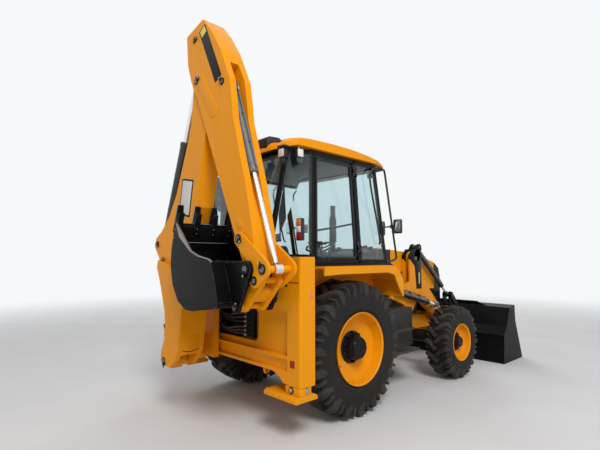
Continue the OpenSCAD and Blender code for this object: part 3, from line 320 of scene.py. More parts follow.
class Piece:
    """One finished object, built of closed shapes in one or more materials."""

    def __init__(self, name, *finishes, space=here):
        self.name, self.finishes, self.space, self.bm = name, list(finishes), space, bmesh.new()

    def at(self, p):
        """A Vector in metres stays; (a, w, b) in millimetres goes through the piece's own directions."""
        return p if isinstance(p, Vector) else self.space(*p)

    def merge(self, bm, finish_no=0):
        solid_normals(bm)
        for f in bm.faces:
            f.material_index = finish_no
            f.smooth = True
        mesh = bpy.data.meshes.new("part")
        bm.to_mesh(mesh)
        bm.free()
        self.bm.from_mesh(mesh)
        bpy.data.meshes.remove(mesh)
        return self

    def faces(self, points, faces, finish_no=0):
        bm = bmesh.new()
        vs = [bm.verts.new(p) for p in points]
        for f in faces:
            bm.faces.new([vs[i] for i in f])
        return self.merge(bm, finish_no)

    def plate(self, outline, w0, w1, finish_no=0, edge=0.0, steps=2):
        """A side-view outline between two side distances, its edges rounded."""
        bm = bmesh.new()
        n = len(outline)
        vs = [bm.verts.new(self.space(a, w, b)) for w in (w0, w1) for a, b in outline]
        bm.faces.new(vs[:n])
        bm.faces.new(list(reversed(vs[n:])))
        for i in range(n):
            j = (i + 1) % n
            bm.faces.new([vs[j], vs[i], vs[n + i], vs[n + j]])
        if edge:
            solid_normals(bm)
            sharp = [e for e in bm.edges if e.calc_face_angle(0) > radians(28)]
            bmesh.ops.bevel(bm, geom=sharp, offset=edge / 1000, segments=steps, profile=0.5,
                            affect="EDGES", clamp_overlap=True)
        return self.merge(bm, finish_no)

    def block(self, low, high, finish_no=0, edge=0.0, steps=2):
        """A box between two corners (a, w, b), its edges rounded."""
        return self.plate([(low[0], low[2]), (high[0], low[2]), (high[0], high[2]), (low[0], high[2])],
                          low[1], high[1], finish_no, edge, steps)

    def lathe(self, rings, centre, axis, finish_no=0, steps=48):
        """(radius, height) pairs turned round an axis, in millimetres; a radius of 0 closes an end."""
        centre, axis = self.at(centre), axis.normalized()
        side = axis.orthogonal().normalized()
        third = axis.cross(side)
        bm = bmesh.new()
        rows = []
        for r, h in rings:
            hub = centre + axis * h / 1000
            if r < 1e-6:
                rows.append([bm.verts.new(hub)])
                continue
            turns = [2 * pi * i / steps for i in range(steps)]
            rows.append([bm.verts.new(hub + (side * cos(t) + third * sin(t)) * r / 1000) for t in turns])
        for a, b in zip(rows, rows[1:]):
            for i in range(steps):
                j = (i + 1) % steps
                q = [a[i % len(a)], a[j % len(a)], b[j % len(b)], b[i % len(b)]]
                q = [v for k, v in enumerate(q) if v not in q[:k]]
                if len(q) > 2:
                    bm.faces.new(q)
        return self.merge(bm, finish_no)

    def tube(self, points, radius, finish_no=0, sides=12):
        """A round bar along a smooth line through the points; radius in millimetres."""
        return self.bar(curve_through([self.at(p) for p in points]), radius, finish_no, sides)

    def bar(self, points, radius, finish_no=0, sides=8):
        """A round bar along straight stretches between the points; radius in millimetres."""
        path = [self.at(p) for p in points]
        bm = bmesh.new()
        rows, up = [], None
        for i, p in enumerate(path):
            ahead = (path[min(i + 1, len(path) - 1)] - path[max(i - 1, 0)]).normalized()
            if up is None:
                up = ahead.orthogonal().normalized()
            else:
                up = (up - ahead * up.dot(ahead)).normalized()
            third = ahead.cross(up)
            turns = [2 * pi * k / sides for k in range(sides)]
            rows.append([bm.verts.new(p + (up * cos(t) + third * sin(t)) * radius / 1000) for t in turns])
        for a, b in zip(rows, rows[1:]):
            for k in range(sides):
                j = (k + 1) % sides
                bm.faces.new([a[k], a[j], b[j], b[k]])
        bm.faces.new(list(reversed(rows[0])))
        bm.faces.new(rows[-1])
        return self.merge(bm, finish_no)

    def beam(self, p, q, wide_way, wide, deep, finish_no=0, corner=8, steps=3):
        """A bar of rounded oblong section between two points; sizes in millimetres."""
        p, q = self.at(p), self.at(q)
        ahead = (q - p).normalized()
        a = (wide_way - ahead * wide_way.dot(ahead)).normalized()
        b = ahead.cross(a)
        loop = rounded([(-wide / 2, -deep / 2), (wide / 2, -deep / 2), (wide / 2, deep / 2),
                        (-wide / 2, deep / 2)], corner, steps)
        n = len(loop)
        points = [end + (a * u + b * v) / 1000 for end in (p, q) for u, v in loop]
        sides = [(i, (i + 1) % n, n + (i + 1) % n, n + i) for i in range(n)]
        return self.faces(points, [tuple(reversed(range(n))), tuple(range(n, 2 * n))] + sides, finish_no)

    def ring(self, outer, inner, w0, w1, finish_no=0):
        """A flat frame between two outlines of equal length, from one side distance to another."""
        n = len(outer)
        points = [self.space(a, w, b) for w in (w0, w1) for loop in (outer, inner) for a, b in loop]
        quads = []
        for i in range(n):
            j = (i + 1) % n
            quads += [(i, j, n + j, n + i), (2 * n + i, 3 * n + i, 3 * n + j, 2 * n + j),
                      (i, 2 * n + i, 2 * n + j, j), (n + i, n + j, 3 * n + j, 3 * n + i)]
        return self.faces(points, quads, finish_no)

    def done(self, body, replaces=(), slot=None, sharp=35):
        mesh = bpy.data.meshes.new(self.name)
        self.bm.to_mesh(mesh)
        self.bm.free()
        for m in self.finishes:
            mesh.materials.append(m)
        mesh.set_sharp_from_angle(angle=radians(sharp))
        o = bpy.data.objects.new(self.name, mesh)
        bpy.context.scene.collection.objects.link(o)
        return settle(o, body, replaces)


def settle(o, body, replaces=()):
    if body:
        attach(o, body)
    if replaces:
        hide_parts(*replaces)
    return o


def rounded(outline, r, steps=4):
    """The outline with its corners rounded; r is one radius or one for each corner."""
    radii = r if isinstance(r, list) else [r] * len(outline)
    loop = []
    for i, c in enumerate(outline):
        c = Vector(c)
        a = (Vector(outline[i - 1]) - c).normalized()
        b = (Vector(outline[(i + 1) % len(outline)]) - c).normalized()
        half = a.angle(b) / 2
        if radii[i] == 0:
            loop.append(tuple(c))
            continue
        centre = c + (a + b).normalized() * radii[i] / sin(half)
        start, end = c + a * radii[i] / tan(half) - centre, c + b * radii[i] / tan(half) - centre
        sweep = start.angle_signed(end)
        for k in range(steps + 1):
            t = -sweep * k / steps
            loop.append((centre.x + start.x * cos(t) - start.y * sin(t),
                         centre.y + start.x * sin(t) + start.y * cos(t)))
    return loop


def curve_through(points, steps=6):
    """A smooth line through points."""
    p = points
    if len(p) < 3:
        return p
    p = [p[0] * 2 - p[1]] + p + [p[-1] * 2 - p[-2]]
    line = []
    for i in range(1, len(p) - 2):
        for k in range(steps):
            t = k / steps
            a, b, c, d = p[i - 1:i + 3]
            line.append(0.5 * (2 * b + (c - a) * t + (2 * a - 5 * b + 4 * c - d) * t * t
                               + (3 * b - a - 3 * c + d) * t ** 3))
    return line + [p[-2]]


# Repeats: one tree turns a piece round an axis, one sets a fastener on each point

def repeat_tree(name, extra):
    tree = bpy.data.node_groups.new(name, "GeometryNodeTree")
    made = {}
    for label, kind, value in [("Geometry", "Geometry", None), ("Piece", "Object", None)] + extra + [
            ("Finish", "Material", None)]:
        s = tree.interface.new_socket(label, in_out="INPUT", socket_type="NodeSocket" + kind)
        if value is not None:
            s.default_value = value
        made[label] = s.identifier
    tree.interface.new_socket("Geometry", in_out="OUTPUT", socket_type="NodeSocketGeometry")
    g = Graph(tree)
    g.start = g.node("NodeGroupInput").outputs
    g.end = g.node("NodeGroupOutput").inputs
    g.sockets = made
    g.piece = g.node("GeometryNodeObjectInfo", {"Object": g.start["Piece"]}).outputs["Geometry"]
    return g


def close_tree(g, instances):
    real = g.out("GeometryNodeRealizeInstances", {0: instances})
    done = g.out("GeometryNodeSetMaterial", {"Geometry": real, "Material": g.start["Finish"]})
    g.link(done, g.end["Geometry"])


ring_tree = repeat_tree("Pieces Round A Hub", [("Count", "Int", 8), ("Phase", "Float", 0.0)])
g = ring_tree
spots = g.out("GeometryNodePoints", {"Count": g.start["Count"]})
share = g.math("DIVIDE", 2 * pi, g.start["Count"])
turn = g.math("ADD", g.math("MULTIPLY", g.out("GeometryNodeInputIndex"), share), g.start["Phase"])
turn = g.out("ShaderNodeCombineXYZ", {"Y": turn})
close_tree(g, g.out("GeometryNodeInstanceOnPoints", {"Points": spots, "Instance": g.piece,
                                                     "Rotation": turn}))

spot_tree = repeat_tree("Fasteners On Points", [("Size", "Float", 1.0)])
g = spot_tree
facing = g.out("GeometryNodeInputNamedAttribute", {"Name": "facing"}, data_type="FLOAT_VECTOR")
turn = g.out("FunctionNodeAlignRotationToVector", {"Vector": facing}, axis="Z")
close_tree(g, g.out("GeometryNodeInstanceOnPoints", {"Points": g.start["Geometry"], "Instance": g.piece,
                                                     "Rotation": turn, "Scale": g.start["Size"]}))


def grow(tree, name, mesh, piece, finish_used, place=None, **values):
    """Runs a repeat tree and returns its result as one plain mesh object."""
    holder = bpy.data.objects.new(name + "_spots", mesh)
    bpy.context.scene.collection.objects.link(holder)
    mod = holder.modifiers.new("repeat", "NODES")
    mod.node_group = tree.tree
    mod[tree.sockets["Piece"]] = piece
    mod[tree.sockets["Finish"]] = finish_used
    for k, v in values.items():
        mod[tree.sockets[k]] = v
    graph = bpy.context.evaluated_depsgraph_get()
    made = bpy.data.meshes.new_from_object(holder.evaluated_get(graph), depsgraph=graph)
    made.name = name
    if place is not None:
        made.transform(place)
    bpy.data.objects.remove(holder)
    o = bpy.data.objects.new(name, made)
    bpy.context.scene.collection.objects.link(o)
    made.shade_smooth()
    made.set_sharp_from_angle(angle=radians(35))
    return o


def pattern_piece(name, build):
    """A small piece kept out of the scene, for the repeat trees to copy."""
    p = Piece(name)
    build(p)
    mesh = bpy.data.meshes.new(name)
    p.bm.to_mesh(mesh)
    p.bm.free()
    return bpy.data.objects.new(name, mesh)


up, across, zero = Vector((0, 0, 1)), Vector((0, 1, 0)), Vector((0, 0, 0))


def hexagon(p, r, h, washer):
    p.lathe([(0, 0), (washer, 0), (washer, 2.5), (0, 2.5)], zero, up, steps=16)
    p.lathe([(0, 1), (r, 1), (r, h - 2), (r * 0.9, h), (0, h)], zero, up, steps=6)


bolt_head = pattern_piece("bolt_head", lambda p: hexagon(p, 11, 12, 17))
small_bolt = pattern_piece("small_bolt", lambda p: hexagon(p, 6.5, 7, 10))
wheel_nut = pattern_piece("wheel_nut", lambda p: (
    p.lathe([(0, 0), (22, 0), (18, 8), (0, 8)], zero, up, steps=16),
    p.lathe([(0, 6), (17, 6), (17, 26), (14, 29), (0, 29)], zero, up, steps=6),
    p.lathe([(0, 27), (10, 27), (10, 40), (8, 42), (0, 42)], zero, up, steps=12)))
rivet = pattern_piece("rivet", lambda p: p.lathe([(0, 0), (6, 0), (5.2, 2), (3, 3.4), (0, 3.8)],
                                                 zero, up, steps=10))


def fasten(name, body, spots, head=bolt_head, finish_used=None, size=1.0):
    """Fasteners of one kind on one body; each spot is a point and the way it faces."""
    mesh = bpy.data.meshes.new(name + "_spots")
    mesh.from_pydata([tuple(p) for p, d in spots], [], [])
    way = mesh.attributes.new("facing", "FLOAT_VECTOR", "POINT")
    for i, (p, d) in enumerate(spots):
        way.data[i].vector = d
    return settle(grow(spot_tree, name, mesh, head, finish_used or zinc, Size=size), body)


# Which finish each solid gets

slot_finish = {"yellow_paint": yellow_paint, "black_paint": black_paint, "grey_paint": grey_paint,
               "chrome_rod": rod_chrome, "ram_black": ram_paint, "tyre_rubber": tyre_rubber,
               "clear_glass": window_glass, "black_plastic": plastic, "lamp_lens": lamp_clear,
               "seat_fabric": seat_cloth}
for row in frame["record"]["subparts"]:
    chosen = slot_finish[row["material_slot"]]
    if row["node"] in ("loader_bucket", "dig_bucket"):
        chosen = shovel_paint
    solid = frame["nodes"][row["node"]]
    solid.data.materials.clear()
    solid.data.materials.append(chosen)


# Wheels

def tyre(name, body, wheel, side, r, w, rim_r, lugs, lug_w, node):
    """Carcass turned from its section, with curved lugs and short shoulder bars round it."""
    bead, half = rim_r - 12, w / 2
    top = r - 44
    high = top - bead
    section = [(0.02, 0.70), (0.0, 0.84), (0.035, 0.885), (0.075, 0.885), (0.10, 0.93), (0.17, 0.965),
               (0.19, 0.975), (0.21, 0.968), (0.34, 0.988), (0.46, 0.995), (0.49, 0.985), (0.52, 0.99),
               (0.64, 0.975), (0.76, 0.945), (0.86, 0.895), (0.93, 0.83), (0.97, 0.74), (0.985, 0.6),
               (0.995, 0.35), (1.0, 0.0)]
    outline = [(bead + a * high, b * half) for a, b in section]
    outline += [(q, -h) for q, h in reversed(outline[:-1])]
    rings = outline + [(outline[0][0] - 6, -outline[0][1] + 4),
                       (outline[0][0] - 6, outline[0][1] - 4), outline[0]]
    # The carcass between the lugs takes the darker rubber: painted shade in the tread grooves, on top of its
    # real dirt.
    carcass = Piece(name, tyre_rubber, lug_rubber)
    centre = here(wheel[0], side * wheel[1], wheel[2])
    carcass.lathe(rings, centre, across, steps=96)

    def crown(y):
        t = min(abs(y) / half, 0.97)
        for (a0, b0), (a1, b1) in zip(section[11:], section[12:]):
            if b1 <= t <= b0:
                return bead + high * (a0 + (a1 - a0) * (b0 - t) / max(b0 - b1, 1e-6))
        return top

    def lug(p, way, stations, wide):
        rows = []
        for y, turn, top_r, share in stations:
            base = crown(y) - 12
            rows.append([(y, turn, base, wide * share * 1.35), (y, turn, top_r, wide * share)])
        pts = []
        for k, (low_row, high_row) in enumerate(rows):
            for y, turn, rad, width in (low_row, high_row):
                a, b = rows[max(k - 1, 0)][0], rows[min(k + 1, len(rows) - 1)][0]
                run = Vector(((b[1] - a[1]) * rad, b[0] - a[0]))
                run.normalize()
                for s in (-1, 1):
                    t = turn + s * width / 2 * run.y / rad
                    yy = y - s * width / 2 * run.x
                    pts.append(Vector((-rad * sin(t), way * yy, -rad * cos(t))) / 1000)
        faces = []
        for k in range(len(rows) - 1):
            i, j = 4 * k, 4 * k + 4
            faces += [(i, i + 1, j + 1, j), (i + 2, j + 2, j + 3, i + 3), (i, j, j + 2, i + 2),
                      (i + 1, i + 3, j + 3, j + 1)]
        n = 4 * (len(rows) - 1)
        faces += [(0, 2, 3, 1), (n, n + 1, n + 3, n + 2)]
        bm = bmesh.new()
        vs = [bm.verts.new(q) for q in pts]
        for f in faces:
            bm.faces.new([vs[i] for i in f])
        solid_normals(bm)
        sharp = [e for e in bm.edges if e.calc_face_angle(0) > radians(40)]
        bmesh.ops.bevel(bm, geom=sharp, offset=0.005, segments=2, profile=0.6, affect="EDGES",
                        clamp_overlap=True)
        p.merge(bm)

    k = r / rear_r
    pitch = 2 * pi / lugs
    main = [(-0.06 * half, -0.10 * pitch, r - 1, 0.82), (0.10 * half, 0.02 * pitch, r - 0.5, 1.0),
            (0.30 * half, 0.22 * pitch, r - 1, 1.0), (0.48 * half, 0.36 * pitch, r - 3, 1.02),
            (0.66 * half, 0.45 * pitch, r - 7, 1.08), (0.83 * half, 0.50 * pitch, r - 13, 1.16),
            (0.955 * half, 0.52 * pitch, r - 34 * k, 1.10),
            (0.975 * half, 0.525 * pitch, bead + 0.70 * high, 0.9)]
    short = [(0.60 * half, -0.02 * pitch, r - 20, 0.34), (0.82 * half, 0.03 * pitch, r - 24, 0.40),
             (0.955 * half, 0.04 * pitch, r - 46 * k, 0.40)]
    for way in (1, -1):
        pattern = pattern_piece(name + "_lug", lambda p: (lug(p, way, main, lug_w),
                                                          lug(p, way, short, lug_w)))
        phase = 0.0 if way > 0 else pitch / 2
        o = grow(ring_tree, name + "_row", bpy.data.meshes.new("spots"), pattern, lug_rubber,
                 Matrix.Translation(centre), Count=lugs, Phase=phase)
        for f in o.data.polygons:
            f.material_index = 1
        carcass.bm.from_mesh(o.data)
        bpy.data.objects.remove(o)
    return carcass.done(body, [node], "tyre_rubber")


def rim(name, body, wheel, side, rim_r, w, disc, drum_r, drum_y, cap_r, cap_y, nuts, node):
    """Stepped rim and dished disc, painted; black hub drum with its nuts and cover plate."""
    centre = here(wheel[0], side * wheel[1], wheel[2])
    out = Vector((0, side, 0))
    h, well, wall = w / 2, rim_r - 12, 9
    p = Piece(name, yellow_paint, black_paint)
    p.lathe([(rim_r - 2, -h), (rim_r, -h + 3), (rim_r, -h + 10), (well, -h + 14), (well, -h + 50),
             (well - 8, -h + 60), (well - 8, h - 70), (well, h - 58), (well, h - 14), (rim_r, h - 10),
             (rim_r, h - 3), (rim_r - 2, h), (rim_r - 5, h), (rim_r - 8, h - 6), (well - wall, h - 16),
             (well - wall, h - 56), (well - wall - 9, h - 72), (well - wall - 9, disc + 46),
             (well - wall - 20, disc + 24), (well - wall - 46, disc + 12), (drum_r + 62, disc + 4),
             (drum_r + 50, disc), (drum_r - 20, disc), (drum_r - 20, disc - 16),
             (well - wall - 40, disc - 8), (well - wall - 8, disc + 6), (well - wall - 9, -h + 62),
             (well - wall, -h + 48), (well - wall, -h + 10), (rim_r - 6, -h), (rim_r - 2, -h)],
            centre, out, steps=96)
    p.lathe([(0, disc - 60), (drum_r, disc - 60), (drum_r + 44, disc + 1), (drum_r + 44, disc + 10),
             (drum_r + 38, disc + 14), (drum_r + 4, disc + 16), (drum_r, disc + 22), (drum_r, drum_y - 14),
             (drum_r - 5, drum_y - 4), (drum_r - 14, drum_y), (cap_r + 6, drum_y), (cap_r + 6, drum_y + 6),
             (cap_r, drum_y + 9), (cap_r, cap_y - 8), (cap_r - 7, cap_y), (cap_r * 0.55, cap_y),
             (cap_r * 0.5, cap_y - 5), (cap_r * 0.2, cap_y - 5), (cap_r * 0.16, cap_y), (0, cap_y)],
            centre, out, 1, 64)
    p.done(body, [node], "yellow_paint")
    spots, small = [], []
    for i in range(nuts):
        t = 2 * pi * (i + 0.5) / nuts
        q = Vector((cos(t), 0, sin(t)))
        spots.append((centre + (q * (drum_r + 24) + out * (disc + 12)) / 1000, out))
        t = 2 * pi * i / nuts
        q = Vector((cos(t), 0, sin(t)))
        small.append((centre + (q * (cap_r * 0.80) + out * cap_y) / 1000, out))
    fasten(name + "_nuts", body, spots, wheel_nut, black_paint, rim_r / rear_rim * 0.9)
    fasten(name + "_cover_bolts", body, small, small_bolt, black_paint)
    t = radians(205)
    q = Vector((cos(t), 0, sin(t)))
    valve = Piece(name + "_valve", plastic)
    start = centre + (q * (well - 24) + out * (h - 78)) / 1000
    valve.tube([start, start + (out * 26 - q * 8) / 1000, start + (out * 44 - q * 20) / 1000], 6, sides=8)
    valve.done(body)


for side, label, space in both_sides():
    tyre("rear_tyre_" + label, "wheel_rear_" + label, rear_wheel, side, rear_r, 430, rear_rim, 19, 60,
         "tyre_rear_" + label)
    tyre("front_tyre_" + label, "wheel_front_" + label, front_wheel, side, front_r, 320, front_rim, 17, 44,
         "tyre_front_" + label)
    rim("rear_rim_" + label, "wheel_rear_" + label, rear_wheel, side, rear_rim, 424, 62, 128, 158, 112, 190,
        10, "rim_rear_" + label)
    rim("front_rim_" + label, "wheel_front_" + label, front_wheel, side, front_rim, 312, 44, 84, 104, 70,
        128, 8, "rim_front_" + label)


# Pins of the linkages: a dark steel end, its collar and the bolt that keeps it

def pin_end(name, body, space, spot, w, way, r, keeper=None):
    """An end face at side distance w, looking along +w or -w."""
    p = Piece(name, pin_steel, black_paint, space=space)
    centre = space(spot[0], w, spot[1])
    out = (space(spot[0], w + way * 100, spot[1]) - centre).normalized()
    p.lathe([(0, -6), (r - 1, -6), (r - 1, 5), (r - 4, 8), (r * 0.35, 8), (r * 0.3, 5), (0, 5)],
            centre, out, 0, 32)
    p.lathe([(r, -8), (r + 13, -8), (r + 13, 2), (r + 11, 4), (r, 4), (r, -8)], centre, out, 1, 32)
    if keeper is not None:
        t = radians(keeper)
        far = (spot[0] + (r + 34) * cos(t), spot[1] + (r + 34) * sin(t))
        near = (spot[0] + r * 0.3 * cos(t), spot[1] + r * 0.3 * sin(t))
        n = (-sin(t) * 13, cos(t) * 13)
        a, b = w + way * 4, w + way * 14
        p.plate([(near[0] + n[0], near[1] + n[1]), (near[0] - n[0], near[1] - n[1]),
                 (far[0] - n[0], far[1] - n[1]), (far[0] + n[0], far[1] + n[1])],
                min(a, b), max(a, b), 1, 3)
    p.done(body)
    if keeper is not None:
        fasten(name + "_bolt", body, [(space(far[0] * 0.8 + near[0] * 0.2, w + way * 13,
                                             far[1] * 0.8 + near[1] * 0.2), out)], small_bolt)


# Backhoe pins
hoe_pins = [
    ("boom_foot_pin_", "boom", boom_at, (0, 0), 149, 30, 200),
    ("boom_hump_pin_", "boom", boom_at, (1154, 551), 106, 22, 250),
    ("boom_ram_pin_", "boom", boom_at, (1000, 370), 106, 22, 300),
    ("dipper_pin_", "dipper", dipper_at, (0, 0), 124, 30, 75),
    ("dipper_tail_pin_", "dipper", dipper_at, (-428, 156), 124, 22, 60),
    ("bucket_ram_pin_", "dipper", dipper_at, (350, 352), 124, 22, 190),
    ("dig_pin_", "dig_bucket", bucket_at, (0, 0), 190, 30, 110),
    ("link_pin_", "dig_bucket", bucket_at, (-22, 340), 194, 24, 250),
    ("lever_pin_", "dig_lever", dipper_at, (1820, -20), 154, 26, 30),
    ("lever_eye_pin_", "dig_lever", dipper_at, (2194, 160), 154, 30, 180),
    ("lever_link_pin_", "dig_link", dipper_at, (2230, 25), 154, 24, None),
    ("king_ram_pin_", "kingpost", hoe, (60, 900), 86, 26, 130)]
for way, label in ((-1, "right"), (1, "left")):
    for name, body, space, spot, w, r, keeper in hoe_pins:
        pin_end(name + label, body, space, spot, way * w, way, r, keeper)

# Loader pins
loader_pins = [
    ("arm_pin_", "machine", (1900, 1660), 558, 30, None),
    ("tip_ram_pin_", "machine", (2000, 1815), 560, 20, 330),
    ("lift_pin_", "machine", (1320, 1205), 659, 30, 170),
    ("lift_eye_pin_", "lift_rods", (2330, 960), 648, 28, None),
    ("lever_pivot_", "loader_arms", (2960, 600), 561, 30, 200),
    ("lever_top_pin_", "tip_levers", (2925, 1075), 582, 22, None),
    ("dump_pin_", "loader_bucket", (3330, 290), 555, 30, 30),
    ("dump_eye_pin_", "loader_bucket", (3380.4, 575.6), 611, 22, None)]
for side, label, space in both_sides():
    for name, body, spot, w, r, keeper in loader_pins:
        pin_end(name + label, body, space, spot, w, 1, r, keeper)


# Loader towers in black above the arms' foot; black side panels of the bonnet with their slots
tower_line = [(1905, 1215), (2043, 1215), (2043, 1731), (1982, 1793), (1828, 1793), (1737, 1702),
              (1737, 1650), (1868, 1545)]


def link_line(p, q, r, t, steps=14):
    """Outline round two discs, as a link has."""
    p, q = Vector(p), Vector(q)
    d = (q - p).normalized()
    n = Vector((-d.y, d.x))
    line = [p + (n * cos(pi * k / steps) - d * sin(pi * k / steps)) * r for k in range(steps + 1)]
    line += [q + (-n * cos(pi * k / steps) + d * sin(pi * k / steps)) * t for k in range(steps + 1)]
    return [tuple(v) for v in line]


for side, label, space in both_sides():
    tower = Piece("tower_plate_" + label, black_paint, stripe, space=space)
    for low, high in ((428.5, 455.5), (534.6, 563)):
        tower.plate(tower_line, low, high, 0, 2)
        tower.plate(link_line((1940, 1702), (2000, 1815), 82, 58), low, high, 0, 2)
    tower.block((1965, 562, 1290), (1992, 564.5, 1450), 1, 0.4)
    tower.bar([(2000, 430, 1815), (2000, 560, 1815)], 34, 0, 24)
    tower.done("machine")
    sides = Piece("bonnet_side_" + label, black_paint, gasket, bare_plate, space=space)
    sides.plate([(1182, 1250), (1440, 1250), (1440, 1780), (1182, 1788)], 419, 422.5, 1, 1)
    sides.plate([(1440, 1250), (2057, 1250), (2057, 1292), (1480, 1589), (1440, 1589)], 419, 422, 0, 1)
    sides.bar([(1446, 421, 1785), (1446, 421, 1600), (1480, 421, 1580), (2057, 421, 1284)], 9, 1)
    sides.bar([(1486, 422, 1556), (2055, 422, 1263)], 2.5, 2)
    for k in range(9):
        sides.block((1500 + k * 58, 421, 1262),
                    (1540 + k * 58, 424, 1552 - k * 34 if k < 8 else 1276), 1, 1)
    sides.done("bonnet")


# Rams: gland nut, weld beads, ports and the pipe between them

def ram(name, barrel_body, rod_body, p, q, space, w, r, length, eye, rod_eye, piped=True, coat=ram_paint):
    """From p to q in a side view at side distance w; r is the barrel's radius, eye the radius of its foot."""
    p, q = Vector(p), Vector(q)
    u = (q - p).normalized()
    n = Vector((-u.y, u.x))
    centre = space(p.x, w, p.y)
    out = (space(q.x, w, q.y) - centre).normalized()
    rod = round(r * 0.58)
    d = Piece(name + "_gland", coat, zinc)
    d.lathe([(r - 2, length - 46), (r + 5, length - 44), (r + 5, length - 12), (r + 1, length - 3),
             (rod + 6, length - 3), (rod + 5, length + 4), (rod + 1.2, length + 4),
             (rod + 1.2, length - 46), (r - 2, length - 46)], centre, out, 0, 40)
    d.lathe([(r - 2, eye - 4), (r + 5, eye), (r + 5, eye + 7), (r - 2, eye + 15), (r - 2, eye - 4)],
            centre, out, 0, 40)
    for k in (length - 76, length - 84):
        d.lathe([(r - 1, k), (r + 2.5, k + 1), (r + 2.5, k + 4), (r - 1, k + 5), (r - 1, k)],
                centre, out, 0, 40)
    if piped:
        far = r + 19

        def on(along, away):
            a = p + u * along + n * away
            return space(a.x, w, a.y)

        d.bar([on(eye + 46, r - 4), on(eye + 46, far)], 13, 1)
        d.bar([on(length - 62, r - 4), on(length - 62, far + 2)], 11, 1)
        d.tube([on(eye + 62, far - 6), on(eye + 90, far), on(length - 92, far), on(length - 70, far - 4),
                on(length - 60, far - 12)], 7.5, 0, 10)
        d.bar([on(eye + 30, far + 2), on(eye + 64, far + 2)], 12, 1, 6)
        for k in (0.3, 0.72):
            a = eye + 90 + (length - 190 - eye) * k
            d.bar([on(a - 13, far - 3), on(a + 13, far - 3)], 14, 0, 6)
            d.lathe([(r - 1, a - 10), (r + 3, a - 10), (r + 3, a + 10), (r - 1, a + 10), (r - 1, a - 10)],
                    centre, out, 0, 40)
    d.done(barrel_body)
    e = Piece(name + "_rod_neck", coat, zinc)
    reach = (q - p).length
    e.lathe([(rod - 1, reach - rod_eye - 8), (rod + 5, reach - rod_eye - 6), (rod + 9, reach - rod_eye - 2),
             (rod + 9, reach - rod_eye + 12), (rod - 1, reach - rod_eye + 12),
             (rod - 1, reach - rod_eye - 8)], centre, out, 0, 40)
    e.done(rod_body)


for side, label, space in both_sides():
    ram("lift_ram_" + label, "lift_barrels", "lift_rods", (1320, 1205), (2330, 960), space, 615,
        42, 810, 54, 48)
    ram("tip_ram_" + label, "tip_barrels", "tip_rods", (2000, 1815), (2925, 1075), space, 495,
        34, 960, 46, 42)
king_ram = (60, 900)
boom_ram = turned(boom_foot, boom_angle, 1000, 370)
hump_pin = turned(boom_foot, boom_angle, 1154, 551)
tail_pin = turned(dipper_pin, dipper_angle, -428, 156)
dig_ram = turned(dipper_pin, dipper_angle, 350, 352)
lever_c = turned(dipper_pin, dipper_angle, 2194, 160)
ram("boom_ram", "boom_barrel", "boom_rod", king_ram, boom_ram, hoe, 0, 50, 675, 52, 46, False)
ram("dipper_ram", "dipper_barrel", "dipper_rod", hump_pin, tail_pin, hoe, 0, 50, 1190, 48, 46)
ram("bucket_ram", "bucket_barrel", "bucket_rod", dig_ram, lever_c, hoe, 0, 42, 960, 44, 44, coat=grey_paint)

sign_plate = finish("sign_plate", colour(0.005, 0.005, 0.0055), 0.42, spread=0.1, rub=0.1, dusty=0.10,
                    upward=0.05, Specular_IOR_Level=0.15)

# Boom: pipes along one side in their clamps
pipes = Piece("boom_pipes", ram_paint, zinc, space=boom_at)
for k, b in enumerate((-60, -32, -4, 24)):
    line = [(420, b + 10), (700, b + 40), (1100, b + 20 + k * 6), (1700, b - 10), (2300, b - 40),
            (2560, b - 40)]
    pipes.tube([(a, 112, h) for a, h in line], 9, 0, 10)
    pipes.bar([(400, 112, b + 8), (440, 112, b + 12)], 14, 1, 6)
    pipes.bar([(2545, 112, b - 40), (2590, 112, b - 40)], 14, 1, 6)
for a, b in ((620, 20), (1120, 15), (1620, -4), (2120, -32)):
    pipes.block((a - 16, 97, b - 74), (a + 16, 128, b + 66), 0, 5)
pipes.done("boom")

# Dipper: head plate with an opening for the ram's eye, pressed pads and blank sign plates
stiff = Piece("dipper_dressing", yellow_paint, sign_plate, stripe, space=dipper_at)
for way in (-1, 1):
    def side_plate(outline, low, high, finish_no=0, edge=3, steps=3):
        a, b = sorted((way * low, way * high))
        stiff.plate(outline, a, b, finish_no, edge, steps)
    pad_line = [(-30, 96), (-70, 60), (-66, 10), (-20, -30), (240, 20), (430, 30), (520, 40), (566, 90),
                (560, 150), (500, 186), (420, 176), (180, 132), (60, 128)]
    side_plate(rounded(pad_line, [30, 34, 36, 30, 30, 30, 40, 44, 44, 40, 30, 30, 30], 4), 119, 124)
    side_plate(rounded([(-430, 252), (278, 256), (284, 374), (-418, 374)], 9, 3), 119.5, 122, 1, 0.6)
    side_plate([(-412, 268), (-330, 268), (-330, 360), (-406, 360)], 121, 122.6, 2, 0.4)
    stiff.lathe([(0, -2), (46, -2), (46, 2), (44, 3), (0, 3)], (1700, way * 120, 20),
                Vector((way, 0, 0)), 0, 32)
top_line = [(-497, 367), (-276, 426), (-60, 456), (14, 466), (150, 466)]
inner_line = [(150, 452), (14, 452), (-58, 442), (-272, 412), (-494, 353)]
stiff.plate(top_line + inner_line, -114, 114, 0, 2)
for low, high in ((-114, -50), (50, 114)):
    stiff.plate([(150, 466), (240, 465), (240, 440), (150, 440)], low, high, 0, 3)
stiff.done("dipper")

